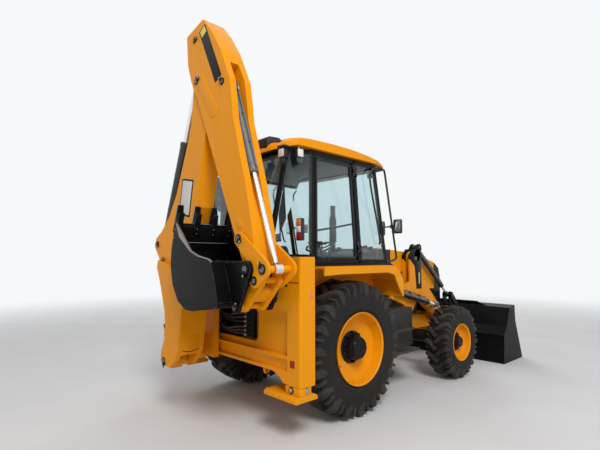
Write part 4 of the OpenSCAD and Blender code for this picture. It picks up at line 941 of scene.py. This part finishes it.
# Boom: blank sign plates, cover and side pads of the foot's fork
signs = Piece("boom_signs", sign_plate, bare_plate, space=boom_at)
for way in (-1, 1):
    a, b = sorted((way * 97.5, way * 100))
    signs.plate(rounded([(1540, -120), (1925, -120), (1925, 120), (1540, 120)], 14, 3), a, b, 0, 0.6)
    a, b = sorted((way * 99, way * 101))
    signs.plate(rounded([(1560, -100), (1905, -100), (1905, 100), (1560, 100)], 10, 3), a, b, 1, 0.6)
signs.done("boom")
cover = Piece("boom_foot_cover", yellow_paint, black_paint, space=boom_at)
cover.plate([(350, -262), (196, -264), (132, -242), (138, -228), (200, -250), (350, -247)], -97, 97, 0, 3)
cover.tube([(196, -96, -255), (170, 0, -247), (196, 96, -255)], 10, 1, 8)
for low, high in ((-150.15, -97), (101.85, 143)):
    cover.plate([(60, 20), (-10, 20), (-10, -60), (40, -74), (90, -60), (96, -10)], low, high, 0, 3)
cover.done("boom")

# Digging bucket: tooth bases with bolts, side cutters, worn lip
lip = Piece("dig_bucket_lip", worn_steel, shovel_paint, space=bucket_at)
spots = []
face = (bucket_at(1, 0, 0) - bucket_at(0, 0, 0)).normalized()
for i in range(4):
    w = -280 + i * 560 / 3
    lip.plate([(1046, 140), (1060, 150), (1078, 60), (1100, -112), (1112, -114), (1088, 62), (1066, 156),
               (1040, 158), (1030, 110)], w - 34, w + 34, 0, 5)
    lip.plate([(1012, 150), (1022, 152), (1032, 60), (1022, 58)], w - 36, w + 36, 1, 3)
    lip.plate([(1034, -58), (1046, -58), (1030, 60), (1004, 168), (990, 168), (1016, 60)],
              w - 30, w + 30, 1, 4)
    for b in (92, 140):
        spots.append((bucket_at(1008 - (b - 92) * 0.23, w, b), -face))
for way in (-1, 1):
    a, b = sorted((way * 313, way * 320.4))
    lip.plate([(1040, 40), (1052, 60), (990, 320), (978, 316)], a, b, 1, 2)
    a, b = sorted((way * 300, way * 320.4))
    lip.plate([(1044, 48), (1034, 44), (660, 156), (524, 136), (340, 78), (300, 84), (300, 92), (340, 88),
               (524, 147), (660, 166), (914, 140)], a, b, 0, 1.5)
    for u, v in ((1022, 110), (1004, 190)):
        spots.append((bucket_at(u, way * 313.5, v), Vector((way, 0, 0))))
lip.bar([(984, -298, 228), (984, 298, 228)], 5)
lip.bar([(1042, -298, 50), (1042, 298, 50)], 5)
lip.done("dig_bucket")
fasten("tooth_bolts", "dig_bucket", spots, small_bolt)

# Roof: a crowned shell with cut rear corners, a dark lining and the black hood at its rear
roof = Piece("roof_shell", yellow_paint, plastic)
roof_line = [(-898, 610, 2766, 2790, 2800), (-885, 640, 2772, 2818, 2850), (-815, 780, 2790, 2848, 2890),
             (-742, 868, 2804, 2872, 2922), (-690, 878, 2806, 2890, 2938), (-560, 880, 2806, 2902, 2948),
             (-200, 880, 2806, 2910, 2946), (100, 880, 2806, 2906, 2932), (380, 878, 2806, 2886, 2908),
             (600, 866, 2804, 2862, 2882), (700, 840, 2800, 2846, 2866), (790, 806, 2790, 2828, 2846),
             (845, 770, 2780, 2806, 2822), (858, 740, 2778, 2792, 2800)]
rows = []
for x, half, low_z, side_z, top_z in roof_line:
    arch = [(half - 30, low_z), (half, low_z + 2), (half, side_z - 14), (half - 8, side_z - 4),
            (half - 24, side_z + 3), (half * 0.8, side_z + (top_z - side_z) * 0.62),
            (half * 0.4, top_z - 3), (0, top_z)]
    loop = arch + [(-w, z) for w, z in reversed(arch[:-1])]
    rows.append([here(x, w, z) for w, z in loop])
n = len(rows[0])
quads = [(r * n + i, r * n + (i + 1) % n, (r + 1) * n + (i + 1) % n, (r + 1) * n + i)
         for r in range(len(rows) - 1) for i in range(n)]
ends = [tuple(reversed(range(n))), tuple(range((len(rows) - 1) * n, len(rows) * n))]
roof.faces([p for row in rows for p in row], quads + ends)
roof.plate([(-860, 2786), (560, 2786), (815, 2770), (815, 2784), (560, 2805), (-860, 2805)],
           -800, 800, 1, 4)
roof.done("machine", ["cab_roof"], "yellow_paint")
hood = Piece("roof_hood", plastic)
for w0, w1, drop in ((-570, 570, 0), (566, 700, 60), (-700, -566, 60)):
    hood.plate([(-893 + drop, 2794), (-700, 2850), (-700, 2930 - drop), (-730, 2944 - drop),
                (-860 + drop * 0.5, 2936 - drop), (-896 + drop, 2912 - drop)], w0, w1, 0, 10)
for w in (-380, -190, 0, 190, 380):
    hood.block((-898, w - 60, 2834), (-890, w + 60, 2884), 0, 4)
hood.done("machine", [], "black_plastic")


def seal(name, loop, w, space, r):
    """A soft lip of radius r round a pane's outline."""
    p = Piece(name, gasket, space=space)
    points = [(x, w, z) for x, z in loop]
    for a, b in zip(points, points[1:] + points[:1]):
        p.bar([a, b], r)
        p.lathe([(0, -r), (r * 0.7, -r * 0.7), (r, 0), (r * 0.7, r * 0.7), (0, r)], a, across, 0, 12)
    p.done("machine")


# Cab frame: round-cornered posts and rails, ledges, tub, fixed halves of the door hinges
cab = Piece("cab_shell", black_paint, gasket)
for side, label, space in both_sides():
    cab.space = space
    for low_end, high_end, wide, deep in (
            ((-500, 829, 1600), (-500, 829, 2790), 42, 42), ((260, 829, 1600), (160, 829, 2790), 42, 54),
            ((772, 829, 1600), (546, 829, 2790), 42, 42), ((-800, 457, 1600), (-756, 718, 2780), 50, 42)):
        cab.beam(low_end, high_end, across, wide, deep)
    for a, b, wide, deep in (((-500, 829, 1620), (772, 829, 1620), 42, 40),
                             ((-500, 829, 2768), (560, 829, 2768), 42, 44),
                             ((-800, 463, 1626), (-500, 829, 1626), 44, 52),
                             ((-757, 714, 2762), (-500, 829, 2762), 44, 46)):
        cab.beam(a, b, up, deep, wide)
    cab.block((-620, 560, 1580), (775, 850, 1601), 0, 3)
    cab.block((-600, 576, 1000), (720, 598, 1585), 0, 3)
    for z in (1720, 2600):
        x = door_front(z)
        for k in (-14, 62):
            cab.lathe([(0, -9), (13, -9), (14, -7), (14, 7), (13, 9), (0, 9)],
                      (x - 0.088 * (k + 44), 884, z + k + 12), door_lean, 0, 20)
            cab.block((x - 16, 846, z + k + 4), (x + 6, 880, z + k + 20), 0, 3)
cab.space = here
for a, b, deep in (((-800, -463, 1626), (-800, 463, 1626), 52), ((-757, -714, 2764), (-757, 714, 2764), 50),
                   ((768, -829, 1626), (768, 829, 1626), 52), ((552, -829, 2762), (552, 829, 2762), 50)):
    cab.beam(a, b, up, deep, 40)
cab.block((-800, -560, 1580), (-596, 560, 1601), 0, 3)
cab.block((-620, -560, 1000), (720, 560, 1030), 0, 3)
cab.block((-620, -598, 1000), (-600, 598, 1600), 0, 3)
cab.plate([(702, 1000), (720, 1000), (722, 1500), (772, 1600), (752, 1606), (702, 1506)], -598, 598, 0, 3)
for low, high in ((-760, -752), (752, 760)):
    cab.plate([(-798, 2738), (-798, 2790), (558, 2790), (548, 2738)], low, high, 1)
cab.done("machine", ["cab_frame"], "black_paint")

panes = Piece("cab_panes", window_glass)


def pane(corners, t):
    """Four corners (x, w, z) and the direction and thickness of the glass."""
    low_face = [panes.at(c) for c in corners]
    high_face = [q + Vector(t) / 1000 for q in low_face]
    panes.faces(low_face + high_face, [(3, 2, 1, 0), (4, 5, 6, 7), (0, 1, 5, 4), (1, 2, 6, 5),
                                       (2, 3, 7, 6), (3, 0, 4, 7)])


pane([(778, -812, 1640), (778, 812, 1640), (560, 812, 2752), (560, -812, 2752)], (6, 0, 0))
pane([(-812, -454, 1644), (-812, 454, 1644), (-770, 704, 2752), (-770, -704, 2752)], (-6, 0, 0))
for side, label, space in both_sides():
    panes.space = space
    pane([(284, 838, 1636), (756, 838, 1636), (540, 838, 2752), (182, 838, 2752)], (0, side * 6, 0))
    pane([(-788, 484, 1644), (-518, 842, 1644), (-518, 842, 2748), (-744, 734, 2748)], (-4, side * 4, 0))
panes.done("machine", ["cab_glass"], "clear_glass")

door_edge = [(-470, 1645), (216, 1645), (120, 2734), (-470, 2734)]
door_hole = [(-448, 1668), (190, 1668), (98, 2712), (-448, 2712)]
for side, label, space in both_sides():
    leaf = Piece("door_frame_" + label, black_paint, gasket, space=space)
    hole = rounded(door_hole, [46, 40, 34, 34], 6)
    leaf.ring(rounded(door_edge, [60, 52, 46, 46], 6), hole, 812, 848)
    inset = rounded([(-456, 1660), (198, 1660), (105, 2720), (-456, 2720)], [52, 46, 40, 40], 6)
    leaf.ring(inset, rounded([(-438, 1678), (180, 1678), (88, 2702), (-438, 2702)], [40, 34, 28, 28],
                             6), 843, 850, 1)
    leaf.tube([(-440, 806, 1940), (-430, 780, 1950), (-60, 770, 2010), (150, 786, 2050),
               (166, 806, 2056)], 11, 0, 10)
    leaf.done("door_" + label, ["door_" + label], "black_paint")
    glass = Piece("door_pane_" + label, window_glass, space=space)
    glass.plate(rounded([(-452, 1664), (194, 1664), (101, 2716), (-452, 2716)],
                        [48, 42, 36, 36], 6), 836, 841)
    glass.done("door_" + label, ["door_glass_" + label], "clear_glass")
    seal("side_window_seal_" + label, [(290, 1644), (742, 1644), (534, 2744), (190, 2744)], 845, space, 6)
    handle = Piece("door_handle_" + label, plastic, zinc, space=space)
    handle.plate(rounded([(-450, 1772), (-366, 1772), (-366, 1842), (-450, 1842)], 16, 4), 841, 856, 0, 3)
    handle.tube([(-440, 852, 1824), (-438, 882, 1824), (-412, 890, 1820), (-356, 888, 1812)], 9, 0, 10)
    handle.lathe([(0, -2), (13, -2), (12, 8), (5, 9), (4, 7), (0, 7)], (-400, 855, 1790),
                 Vector((0, side, 0)), 1, 24)
    handle.done("door_" + label)
    hinge = Piece("door_hinge_covers_" + label, plastic, space=space)
    for z in (1720, 2600):
        x = door_front(z)
        hinge.tube([(x - 34, 846, z + 128), (x - 44, 868, z + 112), (x - 40, 886, z + 70),
                    (x - 8, 886, z + 44)], 8, 0, 10)
        hinge.tube([(x - 34, 846, z - 34), (x - 46, 868, z - 14), (x - 42, 886, z + 26),
                    (x - 8, 886, z + 44)], 8, 0, 10)
        hinge.lathe([(0, -24), (11, -24), (13, -22), (13, 22), (11, 24), (0, 24)], (x - 4, 884, z + 36),
                    door_lean, 0, 20)
    hinge.done("door_" + label)
corner = Piece("corner_seals", gasket)
for side, label, space in both_sides():
    corner.space = space
    for loop in ([(-788, 484, 1648), (-518, 842, 1648), (-518, 842, 2744), (-744, 734, 2744)],
                 [(-816, 0, 1648), (-816, 450, 1648), (-774, 700, 2748), (-774, 0, 2748)]):
        for a, b in zip(loop, loop[1:]):
            corner.bar([a, b], 6.5)
corner.done("machine")

lens_dark = finish("lens_dark", colour(0.03, 0.032, 0.034), 0.12, coat=0.6, spread=0.1, rub=0.0, dusty=0.1)

# Lamps on the rear corner posts and under the roof's rear edge
for side, label, space in both_sides():
    tail = Piece("tail_lamp_" + label, plastic, amber_reflex, lamp_clear, red_reflex,
                 grey_paint, space=space)
    tail.block((-690, 792, 1842), (-642, 868, 2068), 0, 6)
    for k, (z0, z1) in enumerate(((1996, 2060), (1924, 1990), (1850, 1918))):
        tail.block((-699, 799, z0), (-686, 861, z1), 1 + k, 5)
    tail.block((-642, 800, 1904), (-634, 846, 2024), 4, 2)
    tail.block((-640, 826, 1922), (-562, 832, 2008), 4, 2)
    tail.done("machine", [], "lamp_lens")
    fasten("tail_lamp_screws_" + label, "machine",
           [(space(x, 832, z), Vector((0, side, 0))) for x in (-620, -590) for z in (1940, 1990)], rivet)
    for k, (body, lens, bowl, cover, (x, w), way) in enumerate((
            (((-850, 696, 2684), (-794, 782, 2774)), ((-856, 701, 2689), (-842, 777, 2769)),
             (-852, 739, 2650), (-853, 739, 2650), (-822, 739), Vector((1, 0, 0))),
            (((-742, 816, 2684), (-658, 870, 2774)), ((-737, 860, 2689), (-663, 876, 2769)),
             (-700, 872, 2650), (-700, 873, 2650), (-700, 842), Vector((0, -side, 0))))):
        work = Piece("work_lamp_%s_%d" % (label, k + 1), plastic, lamp_clear, zinc, lens_dark, space=space)
        work.block(*body, 0, 10)
        work.block(*lens, 1, 6)
        work.lathe([(0, 0), (30, 4), (40, 12), (40, 26), (26, 40), (0, 46)], bowl, way, 0, 32)
        work.lathe([(0, -1), (29, 3), (29, 6), (0, 6)], cover, way, 3, 32)
        work.bar([(x, w, 2624), (x, w, 2800)], 9, 2)
        work.done("machine", ["lamps"] if side > 0 and k == 0 else [], "lamp_lens")
    front = Piece("front_lamps_" + label, plastic, lamp_clear, amber_reflex, space=space)
    front.block((742, 584, 2690), (780, 706, 2786), 0, 8)
    front.block((776, 590, 2696), (790, 700, 2780), 1, 6)
    front.block((2878, 224, 1282), (2890, 376, 1358), 0, 6)
    front.block((2886, 230, 1288), (2899, 330, 1352), 1, 6)
    front.block((2886, 336, 1288), (2899, 370, 1352), 2, 4)
    front.done("machine", [], "lamp_lens")

# Mirrors: bent stay, clamp, ribbed housing and glass
mirror_glass = finish("mirror_glass", colour(0.80, 0.82, 0.84), 0.05, metallic=1.0, spread=0.02, runs=0.0,
                      dusty=0.1, rub=0.0, bump=0.0, rough_spread=0.03)
for side, label, space in both_sides():
    m = Piece("mirror_" + label, plastic, mirror_glass, space=space)
    m.tube([(530, 864, 2700), (575, 884, 2722), (632, 906, 2740), (668, 910, 2722), (700, 910, 2590),
            (800, 910, 2120), (890, 910, 1700), (893, 905, 1664), (872, 885, 1640),
            (802, 812, 1608)], 12.5, 0, 12)
    m.tube([(668, 910, 2736), (560, 904, 2752), (460, 898, 2726), (402, 896, 2640), (420, 896, 2480),
            (520, 894, 2130), (590, 886, 1880), (606, 862, 1834)], 11, 0, 12)
    m.bar([(806, 770, 2052), (806, 950, 2052)], 9)
    m.block((790, 892, 2030), (830, 926, 2076), 0, 6)
    m.plate([(792, 1950), (824, 1946), (828, 2000), (828, 2090), (820, 2124), (794, 2122)],
            726, 800, 0, 8, 3)
    m.block((788.5, 732, 1958), (793, 794, 2112), 1, 3)
    m.plate([(790, 1968), (822, 1962), (825, 2000), (825, 2110), (818, 2138), (792, 2136), (786, 2110),
             (786, 1990)], 940, 1054, 0, 9, 3)
    m.block((785.5, 950, 1980), (789, 1044, 2126), 1, 3)
    m.done("machine", [], "black_plastic")
feet = Piece("mirror_feet", plastic)
feet.block((520, 846, 2684), (542, 872, 2716), 0, 4)
feet.block((520, -872, 2684), (542, -846, 2716), 0, 4)
feet.done("machine", ["mirrors"])

# Cab inside: seat, wheel, dash and levers
base = Piece("seat_base", black_paint, plastic, zinc)
base.block((-240, -190, 1031), (160, 190, 1060), 0, 8)
base.plate([(-200, 1058), (120, 1058), (80, 1190), (-160, 1190)], -150, 150, 0, 10)
for k in range(5):
    base.plate([(-196 + k * 5, 1066 + k * 24), (118 - k * 6, 1066 + k * 24), (122 - k * 6, 1076 + k * 24),
                (-200 + k * 5, 1076 + k * 24)], -158, 158, 1, 3)
base.block((-250, -200, 1188), (190, 200, 1214), 0, 8)
for y in (-236, 210):
    base.plate([(-260, 1440), (40, 1452), (60, 1470), (40, 1492), (-260, 1492)], y, y + 26, 1, 8, 3)
    base.block((-262, y + 6, 1340), (-236, y + 20, 1450), 0, 4)
base.done("machine")


def pad(name, outline, half, cap):
    """A stuffed pad: its smaller blank swells under pressure and is held to a limit."""
    o = Piece(name, seat_cloth).plate(outline, -half, half, 0, 22, 3).done(None)
    graph = bpy.context.evaluated_depsgraph_get
    grid = o.modifiers.new("grid", "REMESH")
    grid.mode, grid.voxel_size = "VOXEL", 0.009
    blank = bpy.data.meshes.new_from_object(o.evaluated_get(graph()))
    o.modifiers.clear()
    o.data = blank
    rest = [v.co.copy() for v in blank.vertices]
    cloth = o.modifiers.new("stuffing", "CLOTH")
    cloth.settings.use_pressure = True
    cloth.settings.uniform_pressure_force = 4.0
    cloth.settings.effector_weights.gravity = 0.0
    cloth.settings.quality = 5
    for f in range(1, 21):
        bpy.context.scene.frame_set(f)
    swollen = bpy.data.meshes.new_from_object(o.evaluated_get(graph()))
    o.modifiers.clear()
    bpy.context.scene.frame_set(1)
    for v, r in zip(swollen.vertices, rest):
        move = v.co - r
        if move.length > cap:
            v.co = r + move.normalized() * cap
    o.data = swollen
    swollen.name = name
    if not swollen.materials:
        swollen.materials.append(seat_cloth)
    o.data.shade_smooth()
    return o


seat_pads = [
    ("seat_cushion", [(-255, 1225), (215, 1225), (228, 1262), (210, 1312), (-60, 1298), (-255, 1318)],
     232, 0.012),
    ("seat_back", [(-272, 1338), (-205, 1338), (-196, 1420), (-250, 1700), (-288, 1780), (-322, 1800),
                   (-366, 1790), (-360, 1700)], 222, 0.012),
    ("head_rest", [(-330, 1836), (-300, 1830), (-312, 1950), (-340, 1966), (-372, 1956), (-366, 1850)],
     122, 0.010)]
for name, outline, half, cap in seat_pads:
    o = pad(name, outline, half, cap)
    settle(o, "machine", ["seat"] if name == "seat_cushion" else [])

dash = Piece("dash_and_wheel", plastic, zinc)
dash.plate([(562, 1031), (676, 1031), (676, 1588), (652, 1598), (600, 1606), (566, 1560), (590, 1400)],
           -178, 178, 0, 10)
dash.plate([(520, 1560), (640, 1592), (660, 1640), (560, 1660), (500, 1620)], -150, 150, 0, 12, 3)
dash.bar([(600, 0, 1500), (548, 0, 1604), (470, 0, 1780)], 27, 0, 16)
tilt = Matrix.Rotation(radians(-25), 3, "Y")
wheel_centre = here(462, 0, 1796)
rim_pts = [wheel_centre + tilt @ Vector((cos(2 * pi * k / 40), sin(2 * pi * k / 40), 0)) * 0.185
           for k in range(41)]
dash.bar(rim_pts, 14, 0, 12)
for t in (90, 210, 330):
    d = Vector((cos(radians(t)), sin(radians(t)), 0))
    dash.tube([wheel_centre + tilt @ (d * 0.03 + Vector((0, 0, -0.012))),
               wheel_centre + tilt @ (d * 0.10 + Vector((0, 0, -0.016))),
               wheel_centre + tilt @ (d * 0.18)], 9, 0, 10)
dash.lathe([(0, -22), (40, -20), (46, 0), (38, 12), (0, 15)], wheel_centre, tilt @ up, 0, 32)
dash.tube([(590, 90, 1600), (560, 130, 1700), (552, 140, 1750)], 5, 1, 8)
dash.lathe([(0, -16), (13, -10), (15, 4), (9, 14), (0, 17)], (552, 140, 1756), up, 0, 16)
dash.done("machine", ["console"], "black_plastic")
side_desk = Piece("side_desk", plastic, zinc, red_reflex)
side_desk.plate([(-200, 1032), (420, 1032), (440, 1420), (300, 1470), (-180, 1450)], -530, -360, 0, 16, 3)
side_desk.plate([(-560, 1032), (-440, 1032), (-430, 1560), (-470, 1600), (-560, 1600)], -420, 420, 0, 14, 3)
for x, w, z, lean in ((60, -440, 1460, 40), (150, -450, 1462, 30), (-490, 150, 1596, 60),
                      (-490, -150, 1596, 60), (-500, 60, 1598, 20), (-500, -60, 1598, 20)):
    side_desk.tube([(x, w, z - 20), (x + lean * 0.3, w, z + 90), (x + lean, w, z + 240)], 7, 1, 8)
    side_desk.lathe([(0, -34), (14, -28), (20, -4), (21, 16), (12, 32), (0, 36)],
                    (x + lean, w, z + 252), up, 0, 20)
side_desk.lathe([(0, 0), (26, 0), (26, 10), (0, 14)], (240, -440, 1468), up, 2, 24)
side_desk.done("machine")
liner = Piece("cab_lining", plastic)
liner.block((-600, -556, 1030.5), (676, 556, 1034), 0, 1)
liner.plate([(-740, 2744), (500, 2744), (500, 2786), (-740, 2786)], -700, 700, 0, 12)
liner.done("machine")

# Wipers
wipers = Piece("wipers", plastic)
wipers.tube([(-806, 0, 2700), (-812, 30, 2560), (-808, 60, 2330)], 7, 0, 8)
wipers.block((-812, 52, 2050), (-800, 68, 2420), 0, 4)
wipers.tube([(728, 60, 1690), (712, 40, 1900), (690, 20, 2060)], 7, 0, 8)
wipers.done("machine")

# Hydraulics behind the window of the rear frame: valve banks, cross pipes and their nuts
valves = Piece("rear_valves", black_paint, zinc, hose_rubber)
for side, label, space in both_sides():
    valves.space = space
    valves.block((-936, 262, 842), (-887, 420, 1136), 0, 8)
    for k in range(6):
        valves.block((-946, 270, 856 + k * 46), (-930, 412, 890 + k * 46), 0, 5)
        valves.lathe([(0, 0), (13, 0), (13, 12), (9, 14), (9, 22), (0, 22)], (-944, 300, 873 + k * 46),
                     Vector((-1, 0, 0)), 1, 6)
        valves.lathe([(0, 0), (11, 0), (11, 16), (0, 18)], (-944, 372, 873 + k * 46),
                     Vector((-1, 0, 0)), 0, 16)
valves.space = here
for k, z in enumerate((876, 912, 948, 1000, 1046, 1088)):
    dip = 22 * (k % 3)
    valves.tube([(-912, -268, z), (-916 - dip, -160, z - 6), (-916 - dip, 0, z - 14 - dip * 0.5),
                 (-916 - dip, 160, z - 6), (-912, 268, z)], 10, 2, 10)
    for w in (-258, 258):
        valves.bar([(-912, w - 12, z), (-912, w + 12, z)], 15, 1, 6)
valves.block((-884, -268, 800), (-868, 268, 1180), 0, 4)
valves.done("machine")

# Stabilisers: reflectors on the boxes, inner legs with their feet, pin ends
for side, label, space in both_sides():
    signs = Piece("leg_reflectors_" + label, red_reflex, amber_reflex, space=space)
    signs.block((-987.5, 1034, 680), (-984, 1096, 744), 0, 1.5)
    signs.block((-870, 1172, 1290), (-830, 1175.4, 1380), 1, 0.3)
    signs.block((-986.5, 1000, 1438), (-984, 1150, 1446), 0, 0.5)
    signs.done("machine")
    foot = Piece("stabiliser_leg_" + label, yellow_paint, zinc, black_paint, space=space)
    foot.block((-969, 1012, 500), (-822, 1158, 1556), 0, 10)
    foot.block((-985, 965, 440), (-842, 1170, 518), 0, 12, 3)
    foot.plate([(-1043, 398), (-1036, 391), (-772, 391), (-764, 399), (-768, 424), (-800, 444),
                (-1014, 444), (-1043, 426)], 727, 1172, 0, 7, 3)
    for x, w, way in ((-985, 1052, Vector((-1, 0, 0))), (-899, 1163, Vector((0, side, 0)))):
        foot.lathe([(0, -4), (31, -4), (31, 5), (27, 8), (25, 6), (0, 6)], (x, w, 484), way, 2, 28)
        foot.lathe([(0, 4), (21, 4), (21, 9), (15, 12), (8, 12), (7, 9), (0, 9)], (x, w, 484), way, 1, 28)
    foot.done("stabiliser_" + label, ["stabiliser_" + label], "yellow_paint")


# Camera, at the photograph's place
camera = bpy.data.objects.new("camera", bpy.data.cameras.new("camera"))
bpy.context.scene.collection.objects.link(camera)
camera.data.sensor_width = 36.0
camera.data.lens = 25.42
camera.data.clip_end = 200.0
climb, heading = radians(4.39), radians(46.97)
ahead = Vector((cos(climb) * cos(heading), cos(climb) * sin(heading), sin(climb)))
camera.rotation_mode = "QUATERNION"
camera.rotation_quaternion = ahead.to_track_quat("-Z", "Y")
camera.location = (-4.8115, -3.8443, 1.671)
bpy.context.scene.camera = camera

# Floor, light and surroundings
floor_mesh = bpy.data.meshes.new("floor")
floor_mesh.from_pydata([(-60, -60, -0.001), (60, -60, -0.001), (60, 60, -0.001), (-60, 60, -0.001)], [],
                       [(0, 1, 2, 3)])
floor = bpy.data.objects.new("floor", floor_mesh)
bpy.context.scene.collection.objects.link(floor)
floor_finish = bpy.data.materials.new("floor")
floor_finish.use_nodes = True
g = Graph(floor_finish.node_tree)
shader = floor_finish.node_tree.nodes["Principled BSDF"]
spot = g.place()
g.link(g.blend(g.span(g.noise(spot, 0.9, 6.0), 0.3, 0.75), colour(0.74, 0.73, 0.72),
               colour(0.80, 0.79, 0.78)), shader.inputs["Base Color"])
shader.inputs["Roughness"].default_value = 0.85
g.link(g.out("ShaderNodeBump", {"Strength": 0.05, "Distance": 0.01, "Height": g.noise(spot, 60.0, 4.0)}),
       shader.inputs["Normal"])
away = g.node("ShaderNodeVectorMath", {0: spot}, operation="LENGTH").outputs["Value"]
fade = g.out("ShaderNodeMapRange", {0: away, 1: 6.0, 2: 16.0}, interpolation_type="SMOOTHSTEP")
clear = g.out("ShaderNodeBsdfTransparent")
g.link(g.out("ShaderNodeMixShader", {0: fade, 1: shader.outputs[0], 2: clear}),
       floor_finish.node_tree.nodes["Material Output"].inputs["Surface"])
floor_mesh.materials.append(floor_finish)

world = bpy.data.worlds.new("studio")
bpy.context.scene.world = world
world.use_nodes = True
g = Graph(world.node_tree)
rays = g.node("ShaderNodeLightPath").outputs
seen = g.math("MAXIMUM", rays["Is Camera Ray"], rays["Is Transmission Ray"])
seen = g.math("MAXIMUM", seen, rays["Is Glossy Ray"])
lit = g.out("ShaderNodeBackground", {"Color": colour(0.93, 0.96, 1.0), "Strength": 0.46})
shown = g.out("ShaderNodeBackground", {"Color": colour(0.93, 0.94, 0.95), "Strength": 1.0})
g.link(g.out("ShaderNodeMixShader", {0: seen, 1: lit, 2: shown}),
       world.node_tree.nodes["World Output"].inputs["Surface"])


def soft_lamp(name, place, aim, size, power):
    data = bpy.data.lights.new(name, "AREA")
    data.shape, data.size, data.energy = "DISK", size, power
    lamp = bpy.data.objects.new(name, data)
    lamp.location = place
    lamp.rotation_mode = "QUATERNION"
    lamp.rotation_quaternion = (Vector(aim) - Vector(place)).to_track_quat("-Z", "Y")
    bpy.context.scene.collection.objects.link(lamp)
    lamp.visible_transmission = False
    lamp.visible_glossy = name == "key"


soft_lamp("key", (-6.5, -8.5, 9.5), (0, 0, 1.0), 4.0, 980)
soft_lamp("fill", (8.0, 7.0, 7.0), (0, 0, 1.0), 6.0, 300)
bpy.context.scene.view_settings.view_transform = "Standard"
